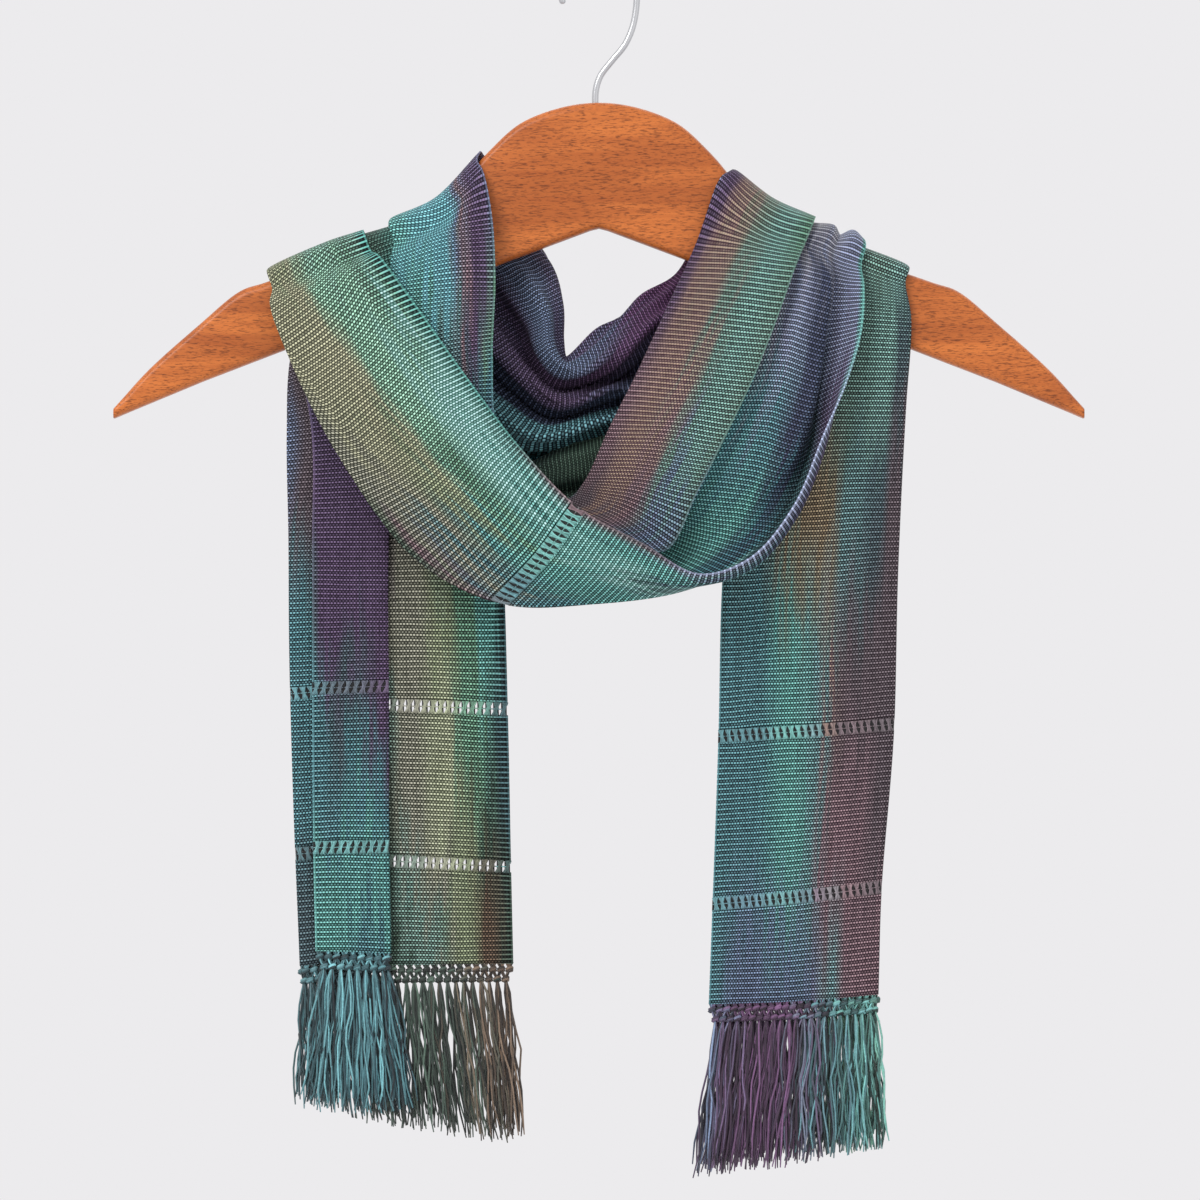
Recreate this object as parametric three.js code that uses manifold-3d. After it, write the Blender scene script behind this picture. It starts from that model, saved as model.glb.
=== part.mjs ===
// Handwoven wrap scarf, wound once round the neck of a wooden clothes hanger.
// Millimetres, +Z up, -Y towards the front.  The origin is the inside of the hook's crown.
import * as THREE from 'three';
import { mergeVertices } from 'three/addons/utils/BufferGeometryUtils.js';
import Module from 'manifold-3d';

const wasm = await Module();
wasm.setup();

// ---- driving dimensions -------------------------------------------------------------------
const WALL = 1;               // cloth thickness
const SEAM = 0.3;             // gap between neighbouring stretches of cloth
const FOLD = 1.8;             // distance between the two layers at a pressed fold
const BOARD = 14;             // thickness of the hanger's board
const BOARD_EDGE = 4;         // radius of the board's eased edges
const WIRE = 3;               // diameter of the hook's wire
const STEM = -1.5;            // the stem's place left of the middle
const CROOK = 17.4;           // radius of the hook's crook, to the middle of the wire
const HOOK_FIT = 0.3;         // clearance round the wire in the board's socket
const SOCKET_DEPTH = 14;      // how far the wire goes into the board
const FRINGE_STRIP = 3;       // height of the strip that carries the fringe's roots
const STRIP_GAP = 0.6;        // between the hem and that strip
const STRAND = 1.3;           // width of a fringe strand
const STRAND_PITCH = 4.4;     // from one strand to the next along the hem
const STRAND_BOW = 0.8;       // how far a strand bows to one side
const TIP_SPREAD = 2.5;       // how unevenly the strands are cut
const CLOTH_ROUGHNESS = 0.8;

// ---- hanger outline: the right half, from the middle to the tip -----------------------------
const BOARD_TOP = [
  [0, -67.2], [18, -69.6], [36, -76.8], [50, -89.2], [59, -99.7], [63, -107], [67, -113.4], [73, -118.6],
  [84, -123.2], [106, -132.2], [130, -141.4], [152, -149.2], [165, -154], [182, -168.2], [205, -188.7],
  [222, -207.5],
];
const BOARD_BOTTOM = [[0, -124.6], [4, -125.6], [43, -140.2], [142, -179.5], [181, -194.5], [222, -211.5]];
const BOARD_STATIONS = [
  0, 4, 13, 23, 33, 42, 49, 55, 60, 65, 70, 76, 84, 98, 116, 136, 152, 165, 180, 196, 211, 219, 221.5,
];

// ---- the scarf's sections --------------------------------------------------------------------
// One row is one section of the cloth, from selvage b to selvage a.  The columns f1, f2 and f3 are its
// three folds, or where they would be; m1 to m4 are the middles of the stretches between them.  A column
// that a row leaves out lies evenly between its neighbours.  Points are [x, y, z].
const TAIL_LEFT = [
  { at: 'hem', b: [-129, -15, -454], f1: [-95, -13, -455], f2: [-136, -10.4, -461], a: [-39, -9, -460] },
  {
    at: 'lower openwork row', b: [-130, -15, -407], f1: [-95.5, -13.4, -406.5], f2: [-138, -10.6, -410],
    m3: [-95, -9.8, -413.2], a: [-40, -9.4, -416],
  },
  {
    at: 'upper openwork row', b: [-130.5, -15, -334.5], f1: [-96, -13, -333.5], f2: [-140.5, -10.4, -337],
    m3: [-95, -9.6, -342.2], a: [-41.5, -8.8, -344.2],
  },
  {
    at: 'high', b: [-130.5, -14.6, -268], f1: [-96, -13, -268], f2: [-141, -10.4, -270],
    a: [-44, -9.2, -268],
  },
  {
    at: 'under the loop', b: [-131, -14, -216], f1: [-93, -12.4, -212], f2: [-141.8, -10, -218],
    a: [-49, -8.8, -208],
  },
  {
    at: 'on the board', b: [-139, -12.7, -177], f1: [-106, -11.9, -164], f2: [-139.5, -10, -180],
    a: [-54, -8.8, -146], fold: 1.45,
  },
];
const OVER_LEFT_INNER = {
  at: 'left shoulder, inner', b: [-147, 1.4], m1: [-126, 4.2], f1: [-112, 3.7], m2: [-120, 3],
  f2: [-128, 2.2], m3: [-110, 1.5], f3: [-78, 1.6], m4: [-68, 2], a: [-60, 2.2], fold: 1.45,
};
const BACK_INNER = [
  {
    at: 'the fold opens', b: [-130, 11.6, -160], m1: [-113, 12.2, -154], f1: [-98, 13.4, -150],
    m2: [-97.5, 11.2, -149], f2: [-98, 8.8, -148], m3: [-78, 9, -139], f3: [-52, 9, -125],
    m4: [-48, 10.8, -120], a: [-45, 11.8, -117], fold: 1.45,
  },
  {
    at: 'behind the board, left', b: [-115, 15, -175], m1: [-99, 10, -167], f1: [-84, 17, -161],
    m2: [-74, 9.5, -156.5], f2: [-64, 16.5, -152], m3: [-44, 9, -144], f3: [-24.5, 13, -136],
    m4: [-27, 18.5, -134], a: [-33, 23, -130],
  },
  {
    at: 'left of the vee', b: [-98, 14, -188], m1: [-80, 0, -184], f1: [-64, 14, -179], m2: [-51, -2, -174],
    f2: [-40, 12, -169], m3: [-27, -5, -163], f3: [-17.5, 8, -158], m4: [-22, 16, -157], a: [-32, 22, -158],
  },
  {
    at: 'low left', b: [-60, 15, -217], m1: [-48, -5, -207], f1: [-40, 14, -200], m2: [-33, -5, -193],
    f2: [-31, 12.5, -186], m3: [-25, -7, -178], f3: [-17, 8, -175], m4: [-19, 17, -176], a: [-29, 22, -183],
  },
  {
    at: 'bottom of the vee', b: [-31, 17, -228], m1: [-27, -6, -219], f1: [-22, 14, -211],
    m2: [-19, -6, -204], f2: [-20, 11.5, -197], m3: [-16, -8, -189], f3: [-15.5, 6.5, -184.5],
    m4: [-16, 17, -190], a: [-19, 22, -201],
  },
  {
    at: 'low right', b: [9, 17, -221], m1: [3, -3, -211.5], f1: [1, 14, -206], m2: [1, -5, -200],
    f2: [1, 12, -195], m3: [1, -7.5, -186], f3: [-2, 7.5, -172.5], m4: [2, 17, -178], a: [6, 22, -191],
  },
  {
    at: 'right of the vee', b: [46, 21, -215], m1: [38, 11, -205], f1: [34, 19, -199], m2: [30, 9, -192],
    f2: [27, 17, -187], m3: [21, -5, -171], f3: [15, 8, -159.5], m4: [22, 19, -164], a: [30, 24, -178],
  },
  {
    at: 'below the board, right', b: [92, 20, -200], m1: [84, 16, -192], f1: [76, 21, -184],
    m2: [66, 13.5, -175], f2: [57, 20, -165], m3: [46, 11, -152], f3: [36, 11, -143], m4: [50, 18.5, -148],
    a: [67, 25, -160],
  },
  {
    at: 'behind the board, right', b: [119, 18, -168], m1: [113, 19, -161], f1: [107, 17, -155],
    m2: [99, 18, -148], f2: [87, 16, -142], m3: [67, 15, -131], f3: [50, 11.5, -121], m4: [72, 19, -127],
    a: [92, 21, -136],
  },
];
const OVER_RIGHT_OUTER = {
  at: 'right shoulder, outer', b: [117.6, 8, 3.2], m1: [112.6, 10, 2], f1: [108, 5.6], m2: [104.2, 8.8],
  f2: [95, 6.2], m3: [78, 6.2], f3: [58.8, 2.6], m4: [76, 9.8], a: [95.5, 9.2],
};
const LOOP = [
  {
    at: 'right arm 1', b: [120.5, -20, -151], m1: [113.5, -15.5, -150.5], f1: [107, -13.6, -149.5],
    m2: [105.8, -21.6, -148], f2: [90, -14.8, -142], m3: [68, -14.4, -136], f3: [44.5, -12, -132],
    m4: [67, -20, -137], a: [90, -21, -141],
  },
  {
    at: 'right arm 2', b: [119.2, -23.5, -172], m1: [112.2, -17.8, -174], f1: [103.6, -14.6, -176],
    m2: [101.6, -24, -177], f2: [83, -15.5, -170], m3: [57, -14.6, -164], f3: [31, -12, -162],
    m4: [54, -21.5, -165], a: [80, -22, -169],
  },
  {
    at: 'right arm 3', b: [112.6, -27, -194.5], m1: [107.4, -20, -198.5], f1: [98.8, -15.8, -203],
    m2: [97.2, -25, -205], f2: [74, -15.7, -198], m3: [46, -14.7, -192], f3: [18.5, -12, -189],
    m4: [44, -22.6, -191], a: [70, -22.8, -194],
  },
  {
    at: 'right arm 4', b: [102, -33, -219], m1: [103, -24.6, -223.5], f1: [94.6, -17.4, -229.5],
    m2: [87, -23.4, -232], f2: [60, -16, -224], m3: [32, -14.8, -218], f3: [5, -12, -216],
    m4: [31, -23.4, -217], a: [57, -24, -221],
  },
  {
    at: 'right arm 5', b: [88, -39, -252], m1: [90, -31, -256], f1: [81, -21.5, -261],
    m2: [64, -18.4, -259], f2: [40, -16, -252], m3: [16, -15, -245], f3: [-6, -12.6, -240],
    m4: [18, -24.6, -241], a: [44.5, -25.4, -246],
  },
  {
    at: 'swag, right', b: [68, -44, -275.5], m1: [69, -37.5, -280.5], f1: [58, -27, -281],
    m2: [44, -19.4, -275], f2: [27, -16.6, -267], m3: [8, -15.2, -257], f3: [-13, -13, -248],
    m4: [8, -24.4, -256], a: [30, -29.6, -272], fold: 2.4,
  },
  {
    at: 'swag, lowest', b: [45, -46.5, -282.3], m1: [42.5, -46.5, -287], f1: [36, -38, -290.8],
    m2: [24, -24, -284], f2: [8, -18, -271], m3: [-7, -16.2, -261], f3: [-23, -14, -249],
    m4: [-7, -24.6, -260], a: [8, -31, -267], fold: 2.4,
  },
  {
    at: 'swag, middle', b: [20, -46.5, -268.8], m1: [11, -49, -283], f1: [-2, -40, -295.8],
    m2: [-8, -25, -284], f2: [-17, -18.4, -267], m3: [-25, -17, -254], f3: [-36, -15.6, -241],
    m4: [-26, -25.6, -250], a: [-15, -30, -256], fold: 2.4,
  },
  {
    at: 'openwork row', b: [-9, -44, -252.6], m1: [-26, -47.5, -276], f1: [-44.5, -38.5, -295.5],
    m2: [-44, -24, -280], f2: [-44, -18, -254], m3: [-47, -18.4, -242], f3: [-51, -19, -229],
    m4: [-41, -25.8, -231.5], a: [-33, -28.4, -237],
  },
  {
    at: 'left arm 1', b: [-35, -38, -226], m1: [-58, -42.5, -253], f1: [-83, -32.5, -275.5],
    m2: [-72, -19.6, -256], f2: [-58, -16.6, -234], m3: [-60, -18.4, -227], f3: [-62, -20.6, -220],
    m4: [-55, -23.8, -218], a: [-45.5, -24.8, -219],
  },
  {
    at: 'left arm 2', b: [-60, -33, -193], m1: [-88, -34.5, -214], f1: [-118, -26.5, -228.5],
    m2: [-98, -18.6, -214], f2: [-71, -16.8, -196], m3: [-78, -19.2, -196], f3: [-85, -21.6, -192],
    m4: [-66, -24.4, -187], a: [-48.2, -23.4, -184],
  },
  {
    at: 'left arm 3', b: [-85, -27.4, -157.5], m1: [-112, -27.4, -174], f1: [-141.4, -22, -182],
    m2: [-116, -17.4, -172], f2: [-80, -16.8, -158], m3: [-87, -19.2, -158], f3: [-93.4, -21.6, -155],
    m4: [-70, -24.2, -151], a: [-47, -22, -149],
  },
  {
    at: 'left arm 4', b: [-99.6, -22, -138], m1: [-123, -21.6, -151], f1: [-149.4, -18.4, -160],
    m2: [-118, -15, -150], f2: [-82, -14.4, -138], m3: [-88, -16, -138.5], f3: [-94.6, -17.6, -139],
    m4: [-72, -20, -129], a: [-48.6, -16, -120],
  },
];
const OVER_LEFT_OUTER = {
  at: 'left shoulder, outer', b: [-105, 6.9], m1: [-122, 8], f1: [-150, 4.6], m2: [-124, 6.3],
  f2: [-84, 4.2], m3: [-88.5, 5.2, -1], f3: [-93, 6.2, -1.8], m4: [-70, 7.4, -3.5], a: [-52, 2.8, -4],
};
const BACK_OUTER = [
  {
    at: 'behind the board, left', b: [-97, 28, -168], m1: [-118, 28, -178], f1: [-139, 25.5, -188],
    m2: [-108, 22.5, -178], f2: [-74, 22, -160], m3: [-79, 24, -160], f3: [-84, 26, -158],
    m4: [-65, 27.6, -150], a: [-48, 26.6, -144],
  },
  {
    at: 'down left', b: [-72, 33, -203], m1: [-92, 34, -219], f1: [-110, 28.5, -233], m2: [-91, 23.5, -219],
    f2: [-69, 22, -203], m3: [-68, 23.6, -199], f3: [-67, 25.2, -194], m4: [-56, 26.4, -188],
    a: [-44, 25.8, -182],
  },
  {
    at: 'sag, left', b: [-41, 33, -221], m1: [-57, 34, -252], f1: [-68, 27, -278], m2: [-60, 17, -267],
    f2: [-52, 25, -255], m3: [-50, 15, -249], f3: [-49, 24, -243], m4: [-46, 13, -238], a: [-43, 19, -232],
  },
  {
    at: 'sag, middle', b: [-8, 26, -231], m1: [-12, 27, -260], f1: [-14, 18, -288], m2: [-15, 5, -277],
    f2: [-16, 13, -264], m3: [-16, 1, -255], f3: [-16, 10, -245], m4: [-16, -1, -235], a: [-16, 5, -223.5],
  },
  {
    at: 'sag, right', b: [34, 18, -228], m1: [38, 17, -252], f1: [40, 9, -273], m2: [33, -1, -262],
    f2: [26, 7, -250], m3: [22, -2, -242], f3: [20, 6, -234], m4: [15, -3, -226], a: [12, 2, -214.5],
  },
  {
    at: 'up right', b: [70, 11, -201], m1: [84, 11.5, -220], f1: [97, 8, -238], m2: [85, 0, -225],
    f2: [72, 6, -212], m3: [66, -1, -205], f3: [60, 5.5, -198], m4: [54, 0, -190], a: [48, 4, -181],
  },
  {
    at: 'behind the board, right', b: [86, 12, -164], m1: [108, 12.4, -178], f1: [132, 10.8, -190],
    m2: [112, 9.2, -180], f2: [98, 9, -170], m3: [92, 9, -165], f3: [84, 9, -160], m4: [76, 9, -154],
    a: [67, 9, -148],
  },
];
const OVER_RIGHT_INNER = {
  at: 'right shoulder, inner', b: [73, 4], m1: [112, 4.2], f1: [140.8, 2.6], m2: [112, 2.2], a: [67, 2],
};
const TAIL_RIGHT = [
  { at: 'on the board', b: [70, -11.2, -160], f1: [142, -9.9, -166], a: [66, -8.6, -156] },
  { at: 'under the loop', b: [64, -11.4, -206], f1: [139.8, -10, -206], a: [62, -8.7, -204] },
  { at: 'high', b: [56.4, -12, -282], m1: [97, -13.4, -280], f1: [136, -10.6, -277], a: [58, -8.8, -281] },
  {
    at: 'upper openwork row', b: [54.4, -12.2, -356.5], m1: [95, -12, -354], f1: [134.2, -10.4, -351],
    a: [55.8, -8.7, -356],
  },
  {
    at: 'lower openwork row', b: [51.7, -12.2, -433], m1: [91, -13.6, -429.5], f1: [128.7, -10.8, -425],
    a: [53.3, -9, -432],
  },
  { at: 'hem', b: [50, -12, -478.4], m1: [89, -13, -477], f1: [127, -10.6, -474], a: [51.5, -9, -478] },
];

// ---- fringe: where the strands' tips hang, by share of the hem from selvage b to selvage a ------------
const FRINGE_LEFT_TIPS = [
  { share: 0, x: -138, z: -521 },
  { share: 0.1, x: -110, z: -525 },
  { share: 0.2, x: -86, z: -523 },
  { share: 0.3, x: -100, z: -524 },
  { share: 0.45, x: -136, z: -519 },
  { share: 0.55, x: -108, z: -527 },
  { share: 0.75, x: -78, z: -532 },
  { share: 0.88, x: -50, z: -537 },
  { share: 1, x: -35, z: -536 },
];
const FRINGE_RIGHT_TIPS = [
  { share: 0, x: 42, z: -553 },
  { share: 0.25, x: 84, z: -548 },
  { share: 0.5, x: 129, z: -539 },
  { share: 0.75, x: 88, z: -545 },
  { share: 1, x: 45, z: -551 },
];

// ---- small geometry helpers ------------------------------------------------------------------
const COLUMNS = ['b', 'm1', 'f1', 'm2', 'f2', 'm3', 'f3', 'm4', 'a'];
const FOLD_COLUMNS = new Set(['f1', 'f2', 'f3']);
const mix = (p, q, t) => p.clone().lerp(q, t);

// One closed indexed geometry from points and faces.
function closedGeometry(points, faces) {
  const geometry = new THREE.BufferGeometry();
  geometry.setAttribute('position', new THREE.Float32BufferAttribute(points.flatMap((p) => p.toArray()), 3));
  geometry.setIndex(faces.flat());
  return geometry;
}

// manifold-3d solid of a closed geometry, and back.
function toSolid(geometry) {
  const plain = new THREE.BufferGeometry();
  plain.setAttribute('position', geometry.getAttribute('position').clone());
  if (geometry.index) plain.setIndex(geometry.index.clone());
  const merged = mergeVertices(plain, 1e-4);
  return new wasm.Manifold(new wasm.Mesh({
    numProp: 3,
    vertProperties: new Float32Array(merged.getAttribute('position').array),
    triVerts: new Uint32Array(merged.index.array),
  }));
}

function fromSolid(solid) {
  const mesh = solid.getMesh();
  const geometry = new THREE.BufferGeometry();
  geometry.setAttribute('position', new THREE.Float32BufferAttribute(mesh.vertProperties, 3));
  geometry.setIndex(new THREE.Uint32BufferAttribute(mesh.triVerts, 1));
  return geometry;
}

// ---- the board's top edge, as a curve over the whole width -------------------------------------
const mirrored = (half) => half.map(([x, z]) => [-x, z]).reverse();
const boardTop = new THREE.SplineCurve(
  [...mirrored(BOARD_TOP), ...BOARD_TOP.slice(1)].map(([x, z]) => new THREE.Vector2(x, z)),
);
const boardTopPoints = boardTop.getPoints(600);

// The top edge's point and upward normal at x, in the X-Z plane.
function boardEdge(x) {
  const right = boardTopPoints.findIndex((p) => p.x >= x);
  const p = boardTopPoints[right - 1];
  const q = boardTopPoints[right];
  const z = THREE.MathUtils.mapLinear(x, p.x, q.x, p.y, q.y);
  const along = q.clone().sub(p).normalize();
  return { point: new THREE.Vector3(x, 0, z), up: new THREE.Vector3(-along.y, 0, along.x) };
}

// ---- sections of the cloth ---------------------------------------------------------------------
// Fills the columns that a row leaves out, evenly between their neighbours.
function filled(row) {
  const given = COLUMNS.map((name, i) => (row[name] ? i : -1)).filter((i) => i >= 0);
  const vec = ([x, y, z = 0]) => new THREE.Vector3(x, y, z);
  return COLUMNS.map((name, i) => {
    if (row[name]) return vec(row[name]);
    const before = Math.max(...given.filter((g) => g < i));
    const after = Math.min(...given.filter((g) => g > i));
    return mix(vec(row[COLUMNS[before]]), vec(row[COLUMNS[after]]), (i - before) / (after - before));
  });
}

// A fold becomes three points, so that its two layers stay apart right up to the bend.  The layers of
// a pressed fold lie on each other along the stacking direction.
function foldPoints([before, fold, after], stack, gap) {
  const toBefore = before.clone().sub(fold).normalize();
  const toAfter = after.clone().sub(fold).normalize();
  const open = [toBefore, toAfter].map((direction) => fold.clone().addScaledVector(direction, gap));
  const pressed = THREE.MathUtils.clamp((toBefore.dot(toAfter) - 0.2) / 0.5, 0, 1);
  if (pressed === 0) return [open[0], fold, open[1]];
  const inward = toBefore.clone().add(toAfter).normalize();
  const difference = toBefore.clone().sub(toAfter);
  const apart = Math.abs(stack.dot(inward)) < 0.5
    ? stack.clone().multiplyScalar(Math.sign(difference.dot(stack)) || 1)
    : difference;
  apart.addScaledVector(inward, -apart.dot(inward)).normalize();
  const layers = [0.5, -0.5].map((side) => fold.clone()
    .addScaledVector(inward, gap * 0.6)
    .addScaledVector(apart, side * gap));
  return [open[0].lerp(layers[0], pressed), fold, open[1].lerp(layers[1], pressed)];
}

// The section's points from selvage b to selvage a, with the folds opened out.
function sectionPoints(points, stack, gap = FOLD) {
  return points.flatMap((point, i) => (
    FOLD_COLUMNS.has(COLUMNS[i]) ? foldPoints(points.slice(i - 1, i + 2), stack, gap) : [point]
  ));
}

// The five sections that carry the cloth over the board's rounded top.  A point is [x, height above it],
// and a third number says how far the cloth drifts along the board on its way down the front.
function overTheBoard(row, fromFront) {
  const flat = BOARD / 2 - BOARD_EDGE;
  const turns = [-90, -45, 0, 45, 90].map((degrees) => degrees * (fromFront ? 1 : -1));
  return turns.map((degrees) => {
    const turn = THREE.MathUtils.degToRad(degrees);
    const section = filled(row).map(({ x, y: height, z: drift }) => {
      const { point, up } = boardEdge(x - drift * Math.min(0, Math.sin(turn)));
      const radius = BOARD_EDGE + height;
      const y = Math.sign(degrees) * flat + radius * Math.sin(turn);
      return point.addScaledVector(up, radius * Math.cos(turn) - BOARD_EDGE).setY(y);
    });
    const middle = boardEdge((row.b[0] + row.a[0]) / 2).up;
    const stack = middle.multiplyScalar(Math.cos(turn)).setY(Math.sin(turn));
    return sectionPoints(section, stack, row.fold);
  });
}

const FRONT_TO_BACK = new THREE.Vector3(0, 1, 0);
const sectionsOf = (rows) => rows.map((row) => sectionPoints(filled(row), FRONT_TO_BACK, row.fold));

// The whole scarf, hem to hem.  Each stretch ends behind a shoulder, where the next one begins.
const stretches = [
  {
    name: 'tail_left', color: 0x5f7f80, stepsAlong: 1,
    sections: [...sectionsOf(TAIL_LEFT), ...overTheBoard(OVER_LEFT_INNER, true)],
  },
  { name: 'back_inner', color: 0x3f3348, stepsAlong: 2, joins: 1, sections: sectionsOf(BACK_INNER) },
  {
    name: 'loop', color: 0x5fa396, stepsAlong: 2,
    sections: [
      ...overTheBoard(OVER_RIGHT_OUTER, false),
      ...sectionsOf(LOOP),
      ...overTheBoard(OVER_LEFT_OUTER, true),
    ],
  },
  { name: 'back_outer', color: 0x3f4f3f, stepsAlong: 2, joins: 1, sections: sectionsOf(BACK_OUTER) },
  {
    name: 'tail_right', color: 0x4f6f66, stepsAlong: 1,
    sections: [...overTheBoard(OVER_RIGHT_INNER, false), ...sectionsOf(TAIL_RIGHT)],
  },
];
const sections = stretches.flatMap((stretch) => stretch.sections);
const rails = sections[0].map((_, j) => (
  new THREE.CatmullRomCurve3(sections.map((section) => section[j]), false, 'centripetal')
));

// Cells across the cloth between neighbouring points of a section: one round a fold, two elsewhere.
const CELLS_ACROSS = COLUMNS.slice(1).flatMap((name) => (FOLD_COLUMNS.has(name) ? [2, 1, 1] : [2]));

// The cloth's middle surface at a place along it: points from selvage b to selvage a.
function middleLine(place) {
  const points = rails.map((rail) => rail.getPoint(place / (sections.length - 1)));
  const across = new THREE.CatmullRomCurve3(points, false, 'centripetal');
  const line = [points[0].clone()];
  CELLS_ACROSS.forEach((cells, span) => {
    for (let k = 1; k <= cells; k += 1) {
      line.push(across.getPoint((span + k / cells) / (points.length - 1)));
    }
  });
  return line;
}

// A closed wall of cloth round a grid of middle points; the lines before and after it only turn its ends.
function wall(grid, thickness, lineBefore = grid[0], lineAfter = grid.at(-1)) {
  const rows = grid.length;
  const count = grid[0].length;
  const lines = [lineBefore, ...grid, lineAfter];
  const at = (i, j) => lines[i + 1][THREE.MathUtils.clamp(j, 0, count - 1)];
  const normals = grid.map((line, i) => line.map((_, j) => {
    const along = at(i + 1, j).clone().sub(at(i - 1, j));
    const across = at(i, j + 1).clone().sub(at(i, j - 1));
    return across.cross(along).normalize();
  }));
  const side = (offset) => grid.flatMap((line, i) => line.map((p, j) => (
    p.clone().addScaledVector(normals[i][j], offset)
  )));
  const points = [...side(thickness / 2), ...side(-thickness / 2)];
  const front = (i, j) => i * count + j;
  const back = (i, j) => rows * count + i * count + j;
  const faces = [];
  const quad = (p, q, r, s) => faces.push([p, q, r], [p, r, s]);
  for (let i = 0; i < rows - 1; i += 1) {
    for (let j = 0; j < count - 1; j += 1) {
      quad(front(i, j), front(i, j + 1), front(i + 1, j + 1), front(i + 1, j));
      quad(back(i, j), back(i + 1, j), back(i + 1, j + 1), back(i, j + 1));
    }
    quad(front(i, 0), front(i + 1, 0), back(i + 1, 0), back(i, 0));
    quad(front(i, count - 1), back(i, count - 1), back(i + 1, count - 1), front(i + 1, count - 1));
  }
  for (let j = 0; j < count - 1; j += 1) {
    quad(front(0, j), back(0, j), back(0, j + 1), front(0, j + 1));
    quad(front(rows - 1, j), front(rows - 1, j + 1), back(rows - 1, j + 1), back(rows - 1, j));
  }
  return closedGeometry(points, faces);
}

// Draws a grid's end line back along the cloth.
function shortened(line, towards, distance) {
  return line.map((p, j) => p.clone().add(towards[j].clone().sub(p).setLength(distance)));
}

// The middle grid of one stretch, from one place to another, with half a seam left at each end.
function stretchGrid(from, to, stepsAlong) {
  const steps = (to - from) * stepsAlong;
  const grid = Array.from({ length: steps + 1 }, (_, i) => middleLine(from + i / stepsAlong));
  grid[0] = shortened(grid[0], grid[1], SEAM / 2);
  grid[steps] = shortened(grid[steps], grid[steps - 1], SEAM / 2);
  return grid;
}

// ---- fringe --------------------------------------------------------------------------------
function tipAt(tips, share) {
  const after = Math.max(1, tips.findIndex((tip) => tip.share >= share));
  const low = tips[after - 1];
  const high = tips[after];
  const t = (share - low.share) / (high.share - low.share);
  return { x: THREE.MathUtils.lerp(low.x, high.x, t), z: THREE.MathUtils.lerp(low.z, high.z, t) };
}

// One strand: a three-sided tube from the strip to its tip, bowed a little to one side.
function strand(root, tip, bow) {
  const rings = [0, 0.35, 0.8, 1].map((share) => {
    const centre = mix(root, tip, share);
    centre.x += bow * Math.sin(Math.PI * share);
    const radius = STRAND * (share === 1 ? 0.35 : 0.6);
    return [90, 210, 330].map((degrees) => {
      const angle = THREE.MathUtils.degToRad(degrees);
      return centre.clone().add(new THREE.Vector3(radius * Math.cos(angle), radius * Math.sin(angle), 0));
    });
  });
  const faces = [[0, 1, 2], [rings.length * 3 - 1, rings.length * 3 - 2, rings.length * 3 - 3]];
  for (let i = 0; i < rings.length - 1; i += 1) {
    for (let k = 0; k < 3; k += 1) {
      const next = (k + 1) % 3;
      faces.push([i * 3 + k, i * 3 + 3 + k, i * 3 + 3 + next], [i * 3 + k, i * 3 + 3 + next, i * 3 + next]);
    }
  }
  return closedGeometry(rings.flat(), faces);
}

// The strip below a hem with its strands, joined into one solid.
function fringe(hem, above, tips) {
  const down = hem.map((p, j) => p.clone().sub(above[j]).normalize());
  const lowered = (distance) => hem.map((p, j) => p.clone().addScaledVector(down[j], distance));
  const top = lowered(STRIP_GAP);
  const middle = lowered(STRIP_GAP + FRINGE_STRIP / 2);
  const bottom = lowered(STRIP_GAP + FRINGE_STRIP);
  let solid = toSolid(outward(wall([top, middle, bottom], WALL)));
  const lengths = middle.map((p, j) => (j === 0 ? 0 : p.distanceTo(middle[j - 1])));
  const total = lengths.reduce((sum, length) => sum + length, 0);
  const count = Math.round(total / STRAND_PITCH);
  for (let k = 0; k < count; k += 1) {
    const share = (k + 0.5) / count;
    let left = share * total;
    let j = 1;
    while (left > lengths[j]) {
      left -= lengths[j];
      j += 1;
    }
    const root = mix(middle[j - 1], middle[j], left / lengths[j]);
    const target = tipAt(tips, share);
    const tip = new THREE.Vector3(target.x, root.y, target.z + TIP_SPREAD * Math.sin(k * 2.4));
    solid = solid.add(toSolid(outward(strand(root, tip, STRAND_BOW * Math.sin(k * 1.7)))));
  }
  return fromSolid(solid);
}

// The same closed geometry, turned so that its faces point out.
function outward(geometry) {
  const position = geometry.getAttribute('position');
  const index = geometry.index;
  const [p, q, r] = [0, 1, 2].map(() => new THREE.Vector3());
  let volume = 0;
  for (let i = 0; i < index.count; i += 3) {
    [p, q, r].forEach((corner, k) => corner.fromBufferAttribute(position, index.getX(i + k)));
    volume += p.dot(q.clone().cross(r)) / 6;
  }
  if (volume < 0) {
    for (let i = 0; i < index.count; i += 3) {
      const first = index.getX(i);
      index.setX(i, index.getX(i + 1));
      index.setX(i + 1, first);
    }
  }
  return geometry;
}

// ---- hanger ----------------------------------------------------------------------------------
const boardMiddle = boardEdge(0.01).point.z;

function boardBottom(x) {
  const away = Math.abs(x);
  const next = BOARD_BOTTOM.findIndex(([far]) => far >= away && far > 0);
  const [[x0, z0], [x1, z1]] = [BOARD_BOTTOM[next - 1], BOARD_BOTTOM[next]];
  return THREE.MathUtils.mapLinear(away, x0, x1, z0, z1);
}

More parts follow.
